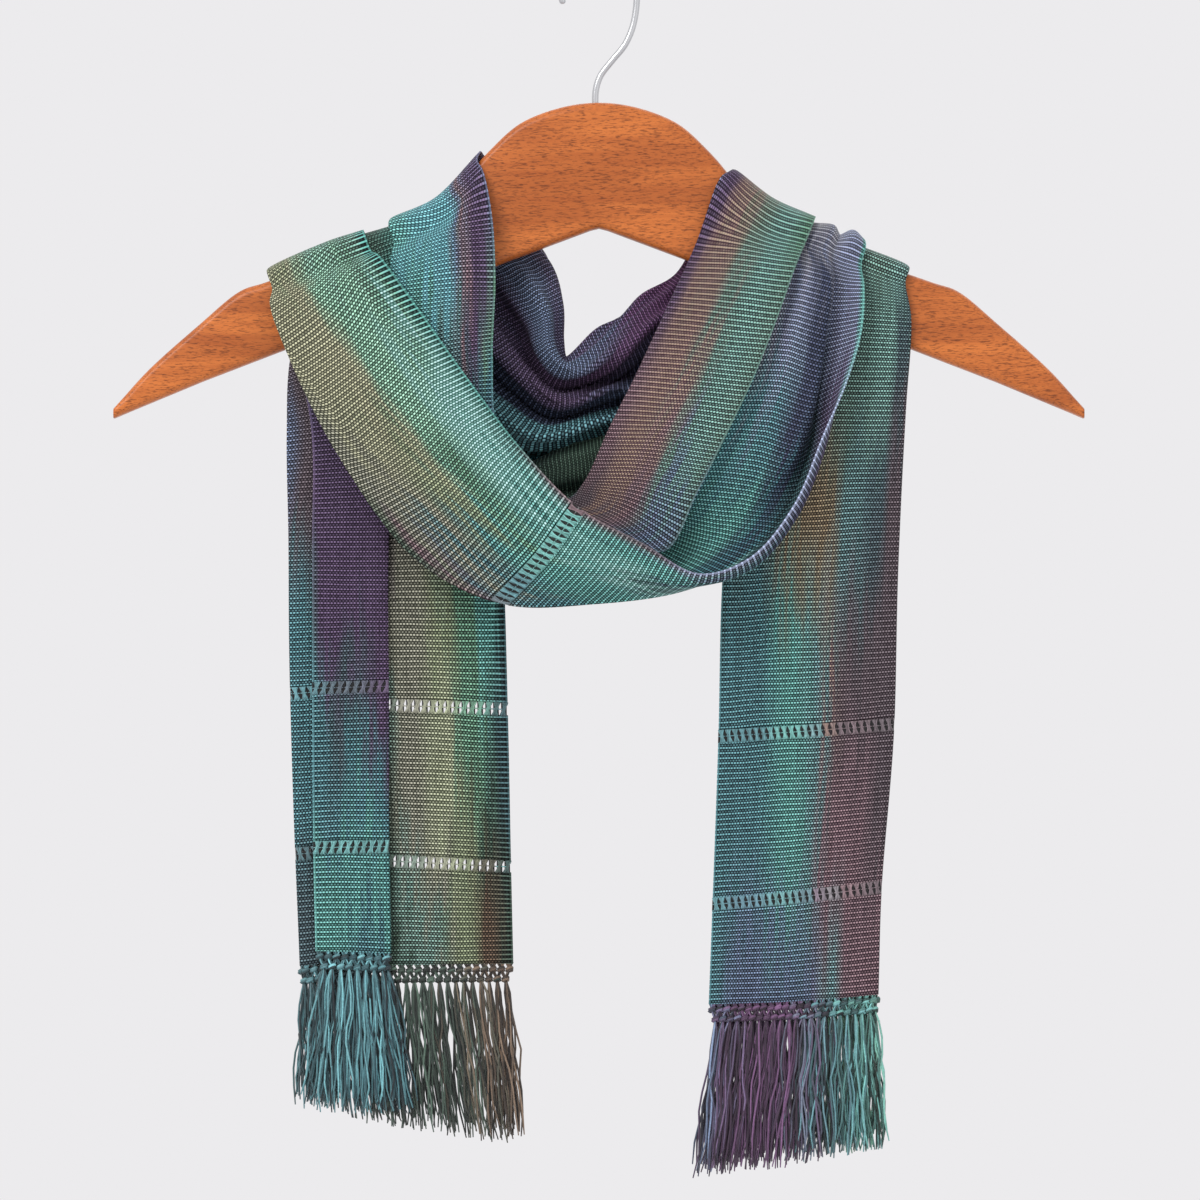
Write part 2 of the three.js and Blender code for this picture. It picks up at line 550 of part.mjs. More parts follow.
// The board's section at x: a rectangle with eased corners, as twelve points.
function boardSection(x) {
  const top = boardEdge(x).point.z;
  const bottom = boardBottom(x);
  const ease = Math.min(BOARD_EDGE, (top - bottom) * 0.45);
  const corners = [[1, 1, 0], [-1, 1, 90], [-1, -1, 180], [1, -1, 270]];
  return corners.flatMap(([sideY, sideZ, start]) => [0, 45, 90].map((turn) => {
    const angle = THREE.MathUtils.degToRad(start + turn);
    const y = sideY * (BOARD / 2 - ease) + ease * Math.cos(angle);
    const z = (sideZ > 0 ? top - ease : bottom + ease) + ease * Math.sin(angle);
    return new THREE.Vector3(x, y, z);
  }));
}

function hangerBoard() {
  const stations = [...BOARD_STATIONS.slice(1).map((x) => -x).reverse(), ...BOARD_STATIONS];
  const rings = stations.map(boardSection);
  const size = rings[0].length;
  const faces = [];
  rings.slice(1).forEach((_, i) => {
    for (let k = 0; k < size; k += 1) {
      const next = (k + 1) % size;
      const [p, q, r, t] = [i * size + k, i * size + next, (i + 1) * size + next, (i + 1) * size + k];
      faces.push([p, q, r], [p, r, t]);
    }
  });
  const end = (rings.length - 1) * size;
  for (let k = 1; k < size - 1; k += 1) {
    faces.push([0, k + 1, k], [end, end + k, end + k + 1]);
  }
  const socket = new THREE.CylinderGeometry(WIRE / 2 + HOOK_FIT, WIRE / 2 + HOOK_FIT, 2 * SOCKET_DEPTH, 16);
  socket.rotateX(Math.PI / 2);
  socket.translate(STEM, 0, boardMiddle);
  return fromSolid(toSolid(outward(closedGeometry(rings.flat(), faces))).subtract(toSolid(socket)));
}

// The wire: up out of the board, out to the right, round the crook and down to its open end.
function hangerHook() {
  const crookCentre = new THREE.Vector3(0, 0, -CROOK + WIRE / 2);
  const onCrook = (degrees) => {
    const angle = THREE.MathUtils.degToRad(degrees);
    return crookCentre.clone().add(new THREE.Vector3(CROOK * Math.cos(angle), 0, CROOK * Math.sin(angle)));
  };
  const route = new THREE.CatmullRomCurve3([
    new THREE.Vector3(STEM, 0, boardMiddle - SOCKET_DEPTH + HOOK_FIT),
    new THREE.Vector3(STEM, 0, boardMiddle - 4),
    new THREE.Vector3(STEM, 0, -62),
    new THREE.Vector3(0.6, 0, -55),
    new THREE.Vector3(6.2, 0, -47.6),
    new THREE.Vector3(11.6, 0, -41),
    new THREE.Vector3(14.9, 0, -34),
    new THREE.Vector3(16.6, 0, -27),
    new THREE.Vector3(17.3, 0, -20),
    ...[5, 25, 45, 65, 85, 105, 125, 145, 165, 185, 200].map(onCrook),
  ], false, 'centripetal');
  const section = new THREE.Shape();
  section.absarc(0, 0, WIRE / 2, 0, 2 * Math.PI);
  return fromSolid(toSolid(new THREE.ExtrudeGeometry(section, {
    steps: 36,
    curveSegments: 4,
    extrudePath: route,
    bevelEnabled: false,
  })));
}

// ---- the scene graph -------------------------------------------------------------------------
const scarf = new THREE.Group();
function addNode(name, geometry, color, roughness, metalness = 0) {
  geometry.computeVertexNormals();
  const mesh = new THREE.Mesh(geometry, new THREE.MeshStandardMaterial({ color, roughness, metalness }));
  mesh.name = name;
  scarf.add(mesh);
}

addNode('hanger_board', hangerBoard(), 0xa8552b, 0.45);
addNode('hanger_hook', hangerHook(), 0xc4c6c8, 0.3, 1);

// A stretch behind the neck also spans the two steps that join it to its neighbours.
let start = 0;
stretches.forEach(({ name, color, stepsAlong, sections: own, joins = 0 }) => {
  const from = start - joins;
  const to = start + own.length - 1 + joins;
  const before = middleLine(Math.max(from - 1 / stepsAlong, 0));
  const after = middleLine(Math.min(to + 1 / stepsAlong, sections.length - 1));
  const cloth = outward(wall(stretchGrid(from, to, stepsAlong), WALL, before, after));
  addNode(name, cloth, color, CLOTH_ROUGHNESS);
  start += own.length;
});

const last = sections.length - 1;
const hemLeft = [middleLine(0), middleLine(1)];
addNode('fringe_left', fringe(...hemLeft, FRINGE_LEFT_TIPS), 0x6a8f94, CLOTH_ROUGHNESS);
const hemRight = [middleLine(last), middleLine(last - 1)];
addNode('fringe_right', fringe(...hemRight, FRINGE_RIGHT_TIPS), 0x6b5368, CLOTH_ROUGHNESS);

export default scarf;
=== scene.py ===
"""Handwoven wrap scarf, wound once round the shoulders of a wooden clothes hanger.

The scarf is one long cloth, hem to hem: left tail, over the left shoulder, behind the neck, over the right
shoulder, round the front as the loop, over the left shoulder again, behind the neck and down as the right
tail.  +Z is up and -Y is the front.  The origin is the inside of the hook's crown.
"""
import math

import bpy
import numpy as np
from bpy.props import FloatProperty, FloatVectorProperty, IntProperty, PointerProperty
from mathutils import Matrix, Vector


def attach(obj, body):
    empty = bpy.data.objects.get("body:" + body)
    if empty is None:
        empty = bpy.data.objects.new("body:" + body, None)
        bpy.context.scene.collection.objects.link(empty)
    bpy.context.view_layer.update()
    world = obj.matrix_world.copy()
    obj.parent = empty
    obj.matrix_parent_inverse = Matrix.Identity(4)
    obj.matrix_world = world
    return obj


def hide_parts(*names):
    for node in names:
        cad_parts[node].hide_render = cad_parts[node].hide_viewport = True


bl_info = {
    "name": "Wrap scarf on a hanger",
    "version": (1, 0, 0),
    "blender": (4, 5, 0),
    "location": "View3D > Sidebar > Scarf",
    "description": "Builds a ribbed, space-dyed wrap scarf wound round a wooden clothes hanger",
    "category": "Object",
}

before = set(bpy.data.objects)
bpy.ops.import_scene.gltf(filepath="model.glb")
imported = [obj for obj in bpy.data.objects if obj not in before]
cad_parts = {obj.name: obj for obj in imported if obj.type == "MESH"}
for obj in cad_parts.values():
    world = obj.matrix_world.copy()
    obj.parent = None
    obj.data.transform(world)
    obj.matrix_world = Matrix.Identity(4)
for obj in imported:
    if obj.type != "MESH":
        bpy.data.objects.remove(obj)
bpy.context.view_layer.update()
MM = 0.001

# ---- the scarf's sections, in millimetres ---------------------------------------------------------
# One row is one section of the cloth, from selvage b to selvage a.  f1, f2 and f3 are its three folds, or
# where they would be; m1 to m4 are the middles of the stretches between them.  A column that a row
# leaves out lies evenly between its neighbours.  The rows over the shoulders give x, the height above the
# board and, where there is a third number, how far the cloth drifts along the board on its way down.
TAIL_LEFT = [
    dict(at="hem", b=(-129, -15, -454), f1=(-95, -13, -455), f2=(-136, -10.4, -461), a=(-39, -9, -460)),
    dict(at="lower openwork row", b=(-130, -15, -407), f1=(-95.5, -13.4, -406.5), f2=(-138, -10.6, -410),
         m3=(-95, -9.8, -413.2), a=(-40, -9.4, -416)),
    dict(at="upper openwork row", b=(-130.5, -15, -334.5), f1=(-96, -13, -333.5),
         f2=(-140.5, -10.4, -337), m3=(-95, -9.6, -342.2), a=(-41.5, -8.8, -344.2)),
    dict(at="high", b=(-130.5, -14.6, -268), f1=(-96, -13, -268), f2=(-141, -10.4, -270),
         a=(-44, -9.2, -268)),
    dict(at="under the loop", b=(-131, -14, -216), f1=(-93, -12.4, -212), f2=(-141.8, -10, -218),
         a=(-49, -8.8, -208)),
    dict(at="on the board", b=(-139, -12.7, -177), f1=(-106, -11.9, -164), f2=(-139.5, -10, -180),
         a=(-54, -8.8, -146), fold=1.45),
]
OVER_LEFT_INNER = dict(
    at="left shoulder, inner", b=(-147, 1.4), m1=(-126, 4.2), f1=(-112, 3.7), m2=(-120, 3),
    f2=(-128, 2.2), m3=(-110, 1.5), f3=(-78, 1.6), m4=(-68, 2), a=(-60, 2.2), fold=1.45,
)
BACK_INNER = [
    dict(at="the fold opens", b=(-130, 11.6, -160), m1=(-113, 12.2, -154), f1=(-98, 13.4, -150),
         m2=(-97.5, 11.2, -149), f2=(-98, 8.8, -148), m3=(-78, 9, -139), f3=(-52, 9, -125),
         m4=(-48, 10.8, -120), a=(-45, 11.8, -117), fold=1.45),
    dict(at="behind the board, left", b=(-115, 15, -175), m1=(-99, 10, -167), f1=(-84, 17, -161),
         m2=(-74, 9.5, -156.5), f2=(-64, 16.5, -152), m3=(-44, 9, -144), f3=(-24.5, 13, -136),
         m4=(-27, 18.5, -134), a=(-33, 23, -130)),
    dict(at="left of the vee", b=(-98, 14, -188), m1=(-80, 0, -184), f1=(-64, 14, -179),
         m2=(-51, -2, -174), f2=(-40, 12, -169), m3=(-27, -5, -163), f3=(-17.5, 8, -158),
         m4=(-22, 16, -157), a=(-32, 22, -158)),
    dict(at="low left", b=(-60, 15, -217), m1=(-48, -5, -207), f1=(-40, 14, -200), m2=(-33, -5, -193),
         f2=(-31, 12.5, -186), m3=(-25, -7, -178), f3=(-17, 8, -175), m4=(-19, 17, -176),
         a=(-29, 22, -183)),
    dict(at="bottom of the vee", b=(-31, 17, -228), m1=(-27, -6, -219), f1=(-22, 14, -211),
         m2=(-19, -6, -204), f2=(-20, 11.5, -197), m3=(-16, -8, -189), f3=(-15.5, 6.5, -184.5),
         m4=(-16, 17, -190), a=(-19, 22, -201)),
    dict(at="low right", b=(9, 17, -221), m1=(3, -3, -211.5), f1=(1, 14, -206), m2=(1, -5, -200),
         f2=(1, 12, -195), m3=(1, -7.5, -186), f3=(-2, 7.5, -172.5), m4=(2, 17, -178), a=(6, 22, -191)),
    dict(at="right of the vee", b=(46, 21, -215), m1=(38, 11, -205), f1=(34, 19, -199), m2=(30, 9, -192),
         f2=(27, 17, -187), m3=(21, -5, -171), f3=(15, 8, -159.5), m4=(22, 19, -164), a=(30, 24, -178)),
    dict(at="below the board, right", b=(92, 20, -200), m1=(84, 16, -192), f1=(76, 21, -184),
         m2=(66, 13.5, -175), f2=(57, 20, -165), m3=(46, 11, -152), f3=(36, 11, -143),
         m4=(50, 18.5, -148), a=(67, 25, -160)),
    dict(at="behind the board, right", b=(119, 18, -168), m1=(113, 19, -161), f1=(107, 17, -155),
         m2=(99, 18, -148), f2=(87, 16, -142), m3=(67, 15, -131), f3=(50, 11.5, -121), m4=(72, 19, -127),
         a=(92, 21, -136)),
]
OVER_RIGHT_OUTER = dict(
    at="right shoulder, outer", b=(117.6, 8, 3.2), m1=(112.6, 10, 2), f1=(108, 5.6), m2=(104.2, 8.8),
    f2=(95, 6.2), m3=(78, 6.2), f3=(58.8, 2.6), m4=(76, 9.8), a=(95.5, 9.2),
)
LOOP = [
    dict(at="right arm 1", b=(120.5, -20, -151), m1=(113.5, -15.5, -150.5), f1=(107, -13.6, -149.5),
         m2=(105.8, -21.6, -148), f2=(90, -14.8, -142), m3=(68, -14.4, -136), f3=(44.5, -12, -132),
         m4=(67, -20, -137), a=(90, -21, -141)),
    dict(at="right arm 2", b=(119.2, -23.5, -172), m1=(112.2, -17.8, -174), f1=(103.6, -14.6, -176),
         m2=(101.6, -24, -177), f2=(83, -15.5, -170), m3=(57, -14.6, -164), f3=(31, -12, -162),
         m4=(54, -21.5, -165), a=(80, -22, -169)),
    dict(at="right arm 3", b=(112.6, -27, -194.5), m1=(107.4, -20, -198.5), f1=(98.8, -15.8, -203),
         m2=(97.2, -25, -205), f2=(74, -15.7, -198), m3=(46, -14.7, -192), f3=(18.5, -12, -189),
         m4=(44, -22.6, -191), a=(70, -22.8, -194)),
    dict(at="right arm 4", b=(102, -33, -219), m1=(103, -24.6, -223.5), f1=(94.6, -17.4, -229.5),
         m2=(87, -23.4, -232), f2=(60, -16, -224), m3=(32, -14.8, -218), f3=(5, -12, -216),
         m4=(31, -23.4, -217), a=(57, -24, -221)),
    dict(at="right arm 5", b=(88, -39, -252), m1=(90, -31, -256), f1=(81, -21.5, -261),
         m2=(64, -18.4, -259), f2=(40, -16, -252), m3=(16, -15, -245), f3=(-6, -12.6, -240),
         m4=(18, -24.6, -241), a=(44.5, -25.4, -246)),
    dict(at="swag, right", b=(68, -44, -275.5), m1=(69, -37.5, -280.5), f1=(58, -27, -281),
         m2=(44, -19.4, -275), f2=(27, -16.6, -267), m3=(8, -15.2, -257), f3=(-13, -13, -248),
         m4=(8, -24.4, -256), a=(30, -29.6, -272), fold=2.4),
    dict(at="swag, lowest", b=(45, -46.5, -282.3), m1=(42.5, -46.5, -287), f1=(36, -38, -290.8),
         m2=(24, -24, -284), f2=(8, -18, -271), m3=(-7, -16.2, -261), f3=(-23, -14, -249),
         m4=(-7, -24.6, -260), a=(8, -31, -267), fold=2.4),
    dict(at="swag, middle", b=(20, -46.5, -268.8), m1=(11, -49, -283), f1=(-2, -40, -295.8),
         m2=(-8, -25, -284), f2=(-17, -18.4, -267), m3=(-25, -17, -254), f3=(-36, -15.6, -241),
         m4=(-26, -25.6, -250), a=(-15, -30, -256), fold=2.4),
    dict(at="openwork row", b=(-9, -44, -252.6), m1=(-26, -47.5, -276), f1=(-44.5, -38.5, -295.5),
         m2=(-44, -24, -280), f2=(-44, -18, -254), m3=(-47, -18.4, -242), f3=(-51, -19, -229),
         m4=(-41, -25.8, -231.5), a=(-33, -28.4, -237)),
    dict(at="left arm 1", b=(-35, -38, -226), m1=(-58, -42.5, -253), f1=(-83, -32.5, -275.5),
         m2=(-72, -19.6, -256), f2=(-58, -16.6, -234), m3=(-60, -18.4, -227), f3=(-62, -20.6, -220),
         m4=(-55, -23.8, -218), a=(-45.5, -24.8, -219)),
    dict(at="left arm 2", b=(-60, -33, -193), m1=(-88, -34.5, -214), f1=(-118, -26.5, -228.5),
         m2=(-98, -18.6, -214), f2=(-71, -16.8, -196), m3=(-78, -19.2, -196), f3=(-85, -21.6, -192),
         m4=(-66, -24.4, -187), a=(-48.2, -23.4, -184)),
    dict(at="left arm 3", b=(-85, -27.4, -157.5), m1=(-112, -27.4, -174), f1=(-141.4, -22, -182),
         m2=(-116, -17.4, -172), f2=(-80, -16.8, -158), m3=(-87, -19.2, -158), f3=(-93.4, -21.6, -155),
         m4=(-70, -24.2, -151), a=(-47, -22, -149)),
    dict(at="left arm 4", b=(-99.6, -22, -138), m1=(-123, -21.6, -151), f1=(-149.4, -18.4, -160),
         m2=(-118, -15, -150), f2=(-82, -14.4, -138), m3=(-88, -16, -138.5), f3=(-94.6, -17.6, -139),
         m4=(-72, -20, -129), a=(-48.6, -16, -120)),
]
OVER_LEFT_OUTER = dict(
    at="left shoulder, outer", b=(-105, 6.9), m1=(-122, 8), f1=(-150, 4.6), m2=(-124, 6.3), f2=(-84, 4.2),
    m3=(-88.5, 5.2, -1), f3=(-93, 6.2, -1.8), m4=(-70, 7.4, -3.5), a=(-52, 2.8, -4),
)
BACK_OUTER = [
    dict(at="behind the board, left", b=(-97, 28, -168), m1=(-118, 28, -178), f1=(-139, 25.5, -188),
         m2=(-108, 22.5, -178), f2=(-74, 22, -160), m3=(-79, 24, -160), f3=(-84, 26, -158),
         m4=(-65, 27.6, -150), a=(-48, 26.6, -144)),
    dict(at="down left", b=(-72, 33, -203), m1=(-92, 34, -219), f1=(-110, 28.5, -233),
         m2=(-91, 23.5, -219), f2=(-69, 22, -203), m3=(-68, 23.6, -199), f3=(-67, 25.2, -194),
         m4=(-56, 26.4, -188), a=(-44, 25.8, -182)),
    dict(at="sag, left", b=(-41, 33, -221), m1=(-57, 34, -252), f1=(-68, 27, -278), m2=(-60, 17, -267),
         f2=(-52, 25, -255), m3=(-50, 15, -249), f3=(-49, 24, -243), m4=(-46, 13, -238),
         a=(-43, 19, -232)),
    dict(at="sag, middle", b=(-8, 26, -231), m1=(-12, 27, -260), f1=(-14, 18, -288), m2=(-15, 5, -277),
         f2=(-16, 13, -264), m3=(-16, 1, -255), f3=(-16, 10, -245), m4=(-16, -1, -235),
         a=(-16, 5, -223.5)),
    dict(at="sag, right", b=(34, 18, -228), m1=(38, 17, -252), f1=(40, 9, -273), m2=(33, -1, -262),
         f2=(26, 7, -250), m3=(22, -2, -242), f3=(20, 6, -234), m4=(15, -3, -226), a=(12, 2, -214.5)),
    dict(at="up right", b=(70, 11, -201), m1=(84, 11.5, -220), f1=(97, 8, -238), m2=(85, 0, -225),
         f2=(72, 6, -212), m3=(66, -1, -205), f3=(60, 5.5, -198), m4=(54, 0, -190), a=(48, 4, -181)),
    dict(at="behind the board, right", b=(86, 12, -164), m1=(108, 12.4, -178), f1=(132, 10.8, -190),
         m2=(112, 9.2, -180), f2=(98, 9, -170), m3=(92, 9, -165), f3=(84, 9, -160), m4=(76, 9, -154),
         a=(67, 9, -148)),
]
OVER_RIGHT_INNER = dict(
    at="right shoulder, inner", b=(73, 4), m1=(112, 4.2), f1=(140.8, 2.6), m2=(112, 2.2), a=(67, 2),
)
TAIL_RIGHT = [
    dict(at="on the board", b=(70, -11.2, -160), f1=(142, -9.9, -166), a=(66, -8.6, -156)),
    dict(at="under the loop", b=(64, -11.4, -206), f1=(139.8, -10, -206), a=(62, -8.7, -204)),
    dict(at="high", b=(56.4, -12, -282), m1=(97, -13.4, -280), f1=(136, -10.6, -277), a=(58, -8.8, -281)),
    dict(at="upper openwork row", b=(54.4, -12.2, -356.5), m1=(95, -12, -354), f1=(134.2, -10.4, -351),
         a=(55.8, -8.7, -356)),
    dict(at="lower openwork row", b=(51.7, -12.2, -433), m1=(91, -13.6, -429.5), f1=(128.7, -10.8, -425),
         a=(53.3, -9, -432)),
    dict(at="hem", b=(50, -12, -478.4), m1=(89, -13, -477), f1=(127, -10.6, -474), a=(51.5, -9, -478)),
]
BOARD_TOP = [
    (0, -67.2), (18, -69.6), (36, -76.8), (50, -89.2), (59, -99.7), (63, -107), (67, -113.4),
    (73, -118.6), (84, -123.2), (106, -132.2), (130, -141.4), (152, -149.2), (165, -154), (182, -168.2),
    (205, -188.7), (222, -207.5),
]
BOARD_BOTTOM = [
    (0, -124.6), (4, -125.6), (43, -140.2), (142, -179.5), (181, -194.5), (222, -211.5),
]
CROOK = 17.4  # radius of the hook's crook, to the middle of the wire
HOOK_ROUTE = [
    (-1.5, -80.9), (-1.5, -71.2), (-1.5, -62),
    (0.6, -55), (6.2, -47.6), (11.6, -41), (14.9, -34), (16.6, -27), (17.3, -20),
]

COLUMNS = ("b", "m1", "f1", "m2", "f2", "m3", "f3", "m4", "a")
FOLD_COLUMNS = ("f1", "f2", "f3")
FOLD = 1.8  # distance between the two layers at a pressed fold, unless the row names another
BOARD = 14.0  # thickness of the hanger's board
BOARD_EDGE = 4.0  # radius of the board's eased edges
EASE_STEPS = 7  # points round one eased edge
SHOULDER_TURNS = (-90, -45, 0, 45, 90)

# ---- space-dyed yarn ------------------------------------------------------------------------------
# Every name is one dye bath: the ground between the floats, and the cloth's shade from a step away.
DYES = {
    "teal": ("#0c1a20", "#4b7177"),
    "deep_teal": ("#0a161d", "#3c636b"),
    "sea": ("#10302c", "#598c86"),
    "mint": ("#2c6155", "#7fb5a8"),
    "green": ("#13231b", "#587c68"),
    "dark_green": ("#0e1713", "#394a40"),
    "olive": ("#2b3227", "#727b62"),
    "khaki": ("#3d4333", "#898f76"),
    "tan": ("#352d27", "#86765f"),
    "mauve": ("#2a1a24", "#705b61"),
    "rose": ("#3a2032", "#7b675e"),
    "umber": ("#231a20", "#574e53"),
    "moss": ("#1f211d", "#617d74"),
    "mist": ("#10181a", "#5c7a7c"),
    "slate": ("#0f151b", "#46565b"),
    "rim": ("#07090c", "#41706a"),
    "drab": ("#25281f", "#77776a"),
    "leaf": ("#1d3a2b", "#74a184"),
    "straw": ("#3a3b2e", "#86866f"),
    # lilac made lighter: painted light on the crest over the right shoulder
    "pearl": ("#37344a", "#989db2"),
    "bronze": ("#1b1512", "#54463a"),
    "soot": ("#0a0d0c", "#35423a"),
    "brook": ("#121b1b", "#688a83"),
    "plum": ("#1c1220", "#504259"),
    "dusk": ("#15151f", "#576379"),
    "lilac": ("#24222f", "#79809a"),
    "magenta": ("#1e0f20", "#563a58"),
    "navy": ("#10111b", "#3d4357"),
    "black_teal": ("#080d10", "#33494d"),
    "silver_blue": ("#23454e", "#5f9299"),
}
FLOAT_SHARE = 0.3  # share of the cloth that the floats cover
STRIPE_EDGE = 2.2  # how sharply one dye's yarns give way to the next; 1 is a plain blend

# Each row lies at a share of the stretch's length.  Its stops are the dyes, each after its place across the
# cloth in per cent, from selvage b to selvage a.
DYE_ROWS = {
    "tail_left": {
        0.00: "0 sea, 16 teal, 24 teal, 42 slate, 55 dark_green, 70 dark_green, 78 moss, 88 olive, "
              "93 bronze, 100 soot",
        0.08: "0 sea, 18 sea, 24 teal, 42 slate, 50 dark_green, 66 dark_green, 74 moss, 81 drab, "
              "88 olive, 93 bronze, 100 soot",
        0.20: "0 teal, 18 teal, 24 slate, 42 teal, 50 dark_green, 66 dark_green, 74 drab, 84 khaki, "
              "89 olive, 94 dark_green, 100 black_teal",
        0.30: "0 teal, 8 slate, 20 plum, 26 slate, 42 teal, 50 dark_green, 68 moss, 74 drab, 84 khaki, "
              "90 green, 100 black_teal",
        0.43: "0 slate, 3 plum, 20 plum, 42 teal, 50 dark_green, 66 drab, 76 drab, 84 olive, 90 green, "
              "95 sea, 100 black_teal",
        0.62: "0 plum, 20 plum, 30 umber, 42 umber, 50 dusk, 66 umber, 78 drab, 90 green, 96 sea, "
              "100 black_teal",
        1.00: "0 navy, 20 plum, 42 umber, 60 umber, 100 dark_green",
    },
    "back_inner": {
        0.00: "0 teal, 35 dusk, 60 navy, 80 dusk, 100 plum",
        0.45: "0 teal, 16 teal, 32 navy, 50 plum, 62 plum, 75 dusk, 88 plum, 100 plum",
        0.75: "0 teal, 30 dusk, 50 navy, 66 magenta, 78 magenta, 100 plum",
        1.00: "0 dusk, 50 plum, 80 magenta, 100 plum",
    },
    "loop": {
        # In rows 0.00 and 0.16 the lighter lilac, from about 15 to 50 per cent across, is painted light on
        # the crest over the right shoulder.
        0.00: "0 sea, 4 lilac, 15 pearl, 28 pearl, 42 pearl, 58 lilac, 64 plum, 70 rose, 78 drab, "
              "92 brook, 100 green",
        # In rows 0.16 to 0.43 the dark plum, navy and black_teal stripes, from about 5 to 20 per cent
        # across, are painted shade on the panel that lies in the crest's shadow.
        0.16: "0 sea, 3 lilac, 12 lilac, 20 navy, 28 lilac, 40 pearl, 50 pearl, 58 dusk, 66 plum, "
              "72 rose, 78 rose, 82 moss, 92 brook, 100 moss",
        0.30: "0 lilac, 6 plum, 14 black_teal, 20 navy, 28 teal, 42 silver_blue, 55 teal, 67 mauve, "
              "78 rose, 84 rose, 87 moss, 94 brook, 100 moss",
        0.43: "0 lilac, 5 navy, 12 black_teal, 18 deep_teal, 26 sea, 40 sea, 60 teal, 70 umber, 78 rose, "
              "84 mauve, 92 dusk, 100 dusk",
        0.52: "0 umber, 4 sea, 12 mint, 22 sea, 34 teal, 60 dusk, 76 umber, 100 umber",
        0.60: "0 mauve, 4 sea, 12 sea, 20 sea, 30 teal, 45 mauve, 70 dusk, 100 dusk",
        0.68: "0 rim, 4 mint, 10 mint, 18 green, 24 olive, 34 drab, 50 dark_green, 75 dark_green, "
              "90 slate, 100 teal",
        0.78: "0 rim, 4 mint, 9 mint, 15 leaf, 22 straw, 30 straw, 38 drab, 45 dark_green, 68 teal, "
              "82 sea, 90 mist, 96 plum, 100 green",
        0.88: "0 rim, 5 green, 10 leaf, 16 leaf, 22 straw, 32 straw, 38 olive, 45 dark_green, 68 sea, "
              "80 silver_blue, 88 silver_blue, 92 mauve, 97 plum, 100 dusk",
        1.00: "0 rim, 6 moss, 14 moss, 22 olive, 30 straw, 37 khaki, 42 green, 45 dark_green, "
              "66 dark_green, 74 sea, 84 silver_blue, 92 dusk, 100 plum",
    },
    "back_outer": {
        0.00: "0 dark_green, 30 khaki, 60 green, 85 silver_blue, 100 dusk",
        # In this row the dark_green from 60 per cent to selvage a is partly the cloth's own dye and partly
        # painted shade, where the stretch sags low behind the loop.
        0.50: "0 teal, 30 olive, 60 dark_green, 85 dark_green, 100 dark_green",
        1.00: "0 mist, 50 mist, 100 dark_green",
    },
    "tail_right": {
        0.00: "0 brook, 28 brook, 36 moss, 48 brook, 60 teal, 100 green",
        0.22: "0 brook, 20 brook, 30 moss, 42 brook, 48 slate, 70 teal, 100 green",
        0.38: "0 mist, 10 mist, 18 tan, 28 tan, 34 mist, 44 slate, 48 umber, 70 teal, 100 sea",
        0.58: "0 teal, 10 teal, 20 sea, 29 mist, 31 rose, 36 umber, 48 umber, 70 plum, 100 teal",
        0.80: "0 teal, 10 teal, 22 sea, 28 mist, 32 mauve, 40 mauve, 48 umber, 70 plum, 100 teal",
        1.00: "0 teal, 8 dusk, 20 dusk, 30 dusk, 36 mist, 40 mauve, 48 mauve, 70 plum, 100 teal",
    },
}

# ---- fringe ---------------------------------------------------------------------------------------
# Where the threads' tips hang: the share of the hem from selvage b to selvage a, then x and z.
FRINGE_LEFT_TIPS = [
    (0, -138, -521), (0.1, -110, -525), (0.2, -86, -523), (0.3, -100, -524), (0.45, -136, -519),
    (0.55, -108, -527), (0.75, -78, -532), (0.88, -50, -537), (1, -35, -536),
]
FRINGE_RIGHT_TIPS = [
    (0, 42, -553), (0.25, 84, -548), (0.5, 129, -539), (0.75, 88, -545), (1, 45, -551),
]
FRINGE_DYES = {
    "fringe_left": "0 teal, 10 silver_blue, 20 deep_teal, 30 slate, 45 teal, 55 soot, 70 dark_green, "
                   "84 soot, 92 bronze, 100 bronze",
    "fringe_right": "0 dusk, 8 magenta, 25 magenta, 36 teal, 46 sea, 60 green, 75 plum, 100 magenta",
}


# ---- relief ---------------------------------------------------------------------------------------
# Soft ridges, or troughs where the height is negative, from one place on the cloth to another.  Places are
# shares along and across the stretch; heights and widths are in millimetres.
CREASES = {
    "loop": [
        {"from": (0.10, 0.34), "to": (0.30, 0.40), "height": -0.9, "width": 7},
        {"from": (0.14, 0.22), "to": (0.36, 0.27), "height": 0.8, "width": 6},
        {"from": (0.34, 0.86), "to": (0.46, 0.70), "height": 1.1, "width": 6},
        {"from": (0.38, 0.96), "to": (0.48, 0.80), "height": -1.0, "width": 7},
        {"from": (0.62, 0.20), "to": (0.90, 0.16), "height": 0.6, "width": 8},
        {"from": (0.66, 0.08), "to": (0.84, 0.10), "height": -0.5, "width": 6},
    ],
    "tail_left": [
        {"from": (0.35, 0.74), "to": (0.72, 0.80), "height": -0.7, "width": 7},
        {"from": (0.05, 0.90), "to": (0.40, 0.86), "height": 0.6, "width": 8},
        {"from": (0.50, 0.08), "to": (0.74, 0.12), "height": 0.5, "width": 7},
    ],
    "tail_right": [
        {"from": (0.30, 0.16), "to": (0.62, 0.20), "height": -0.7, "width": 9},
        {"from": (0.42, 0.34), "to": (0.95, 0.31), "height": 0.6, "width": 8},
        {"from": (0.30, 0.70), "to": (0.90, 0.74), "height": 0.7, "width": 9},
    ],
}
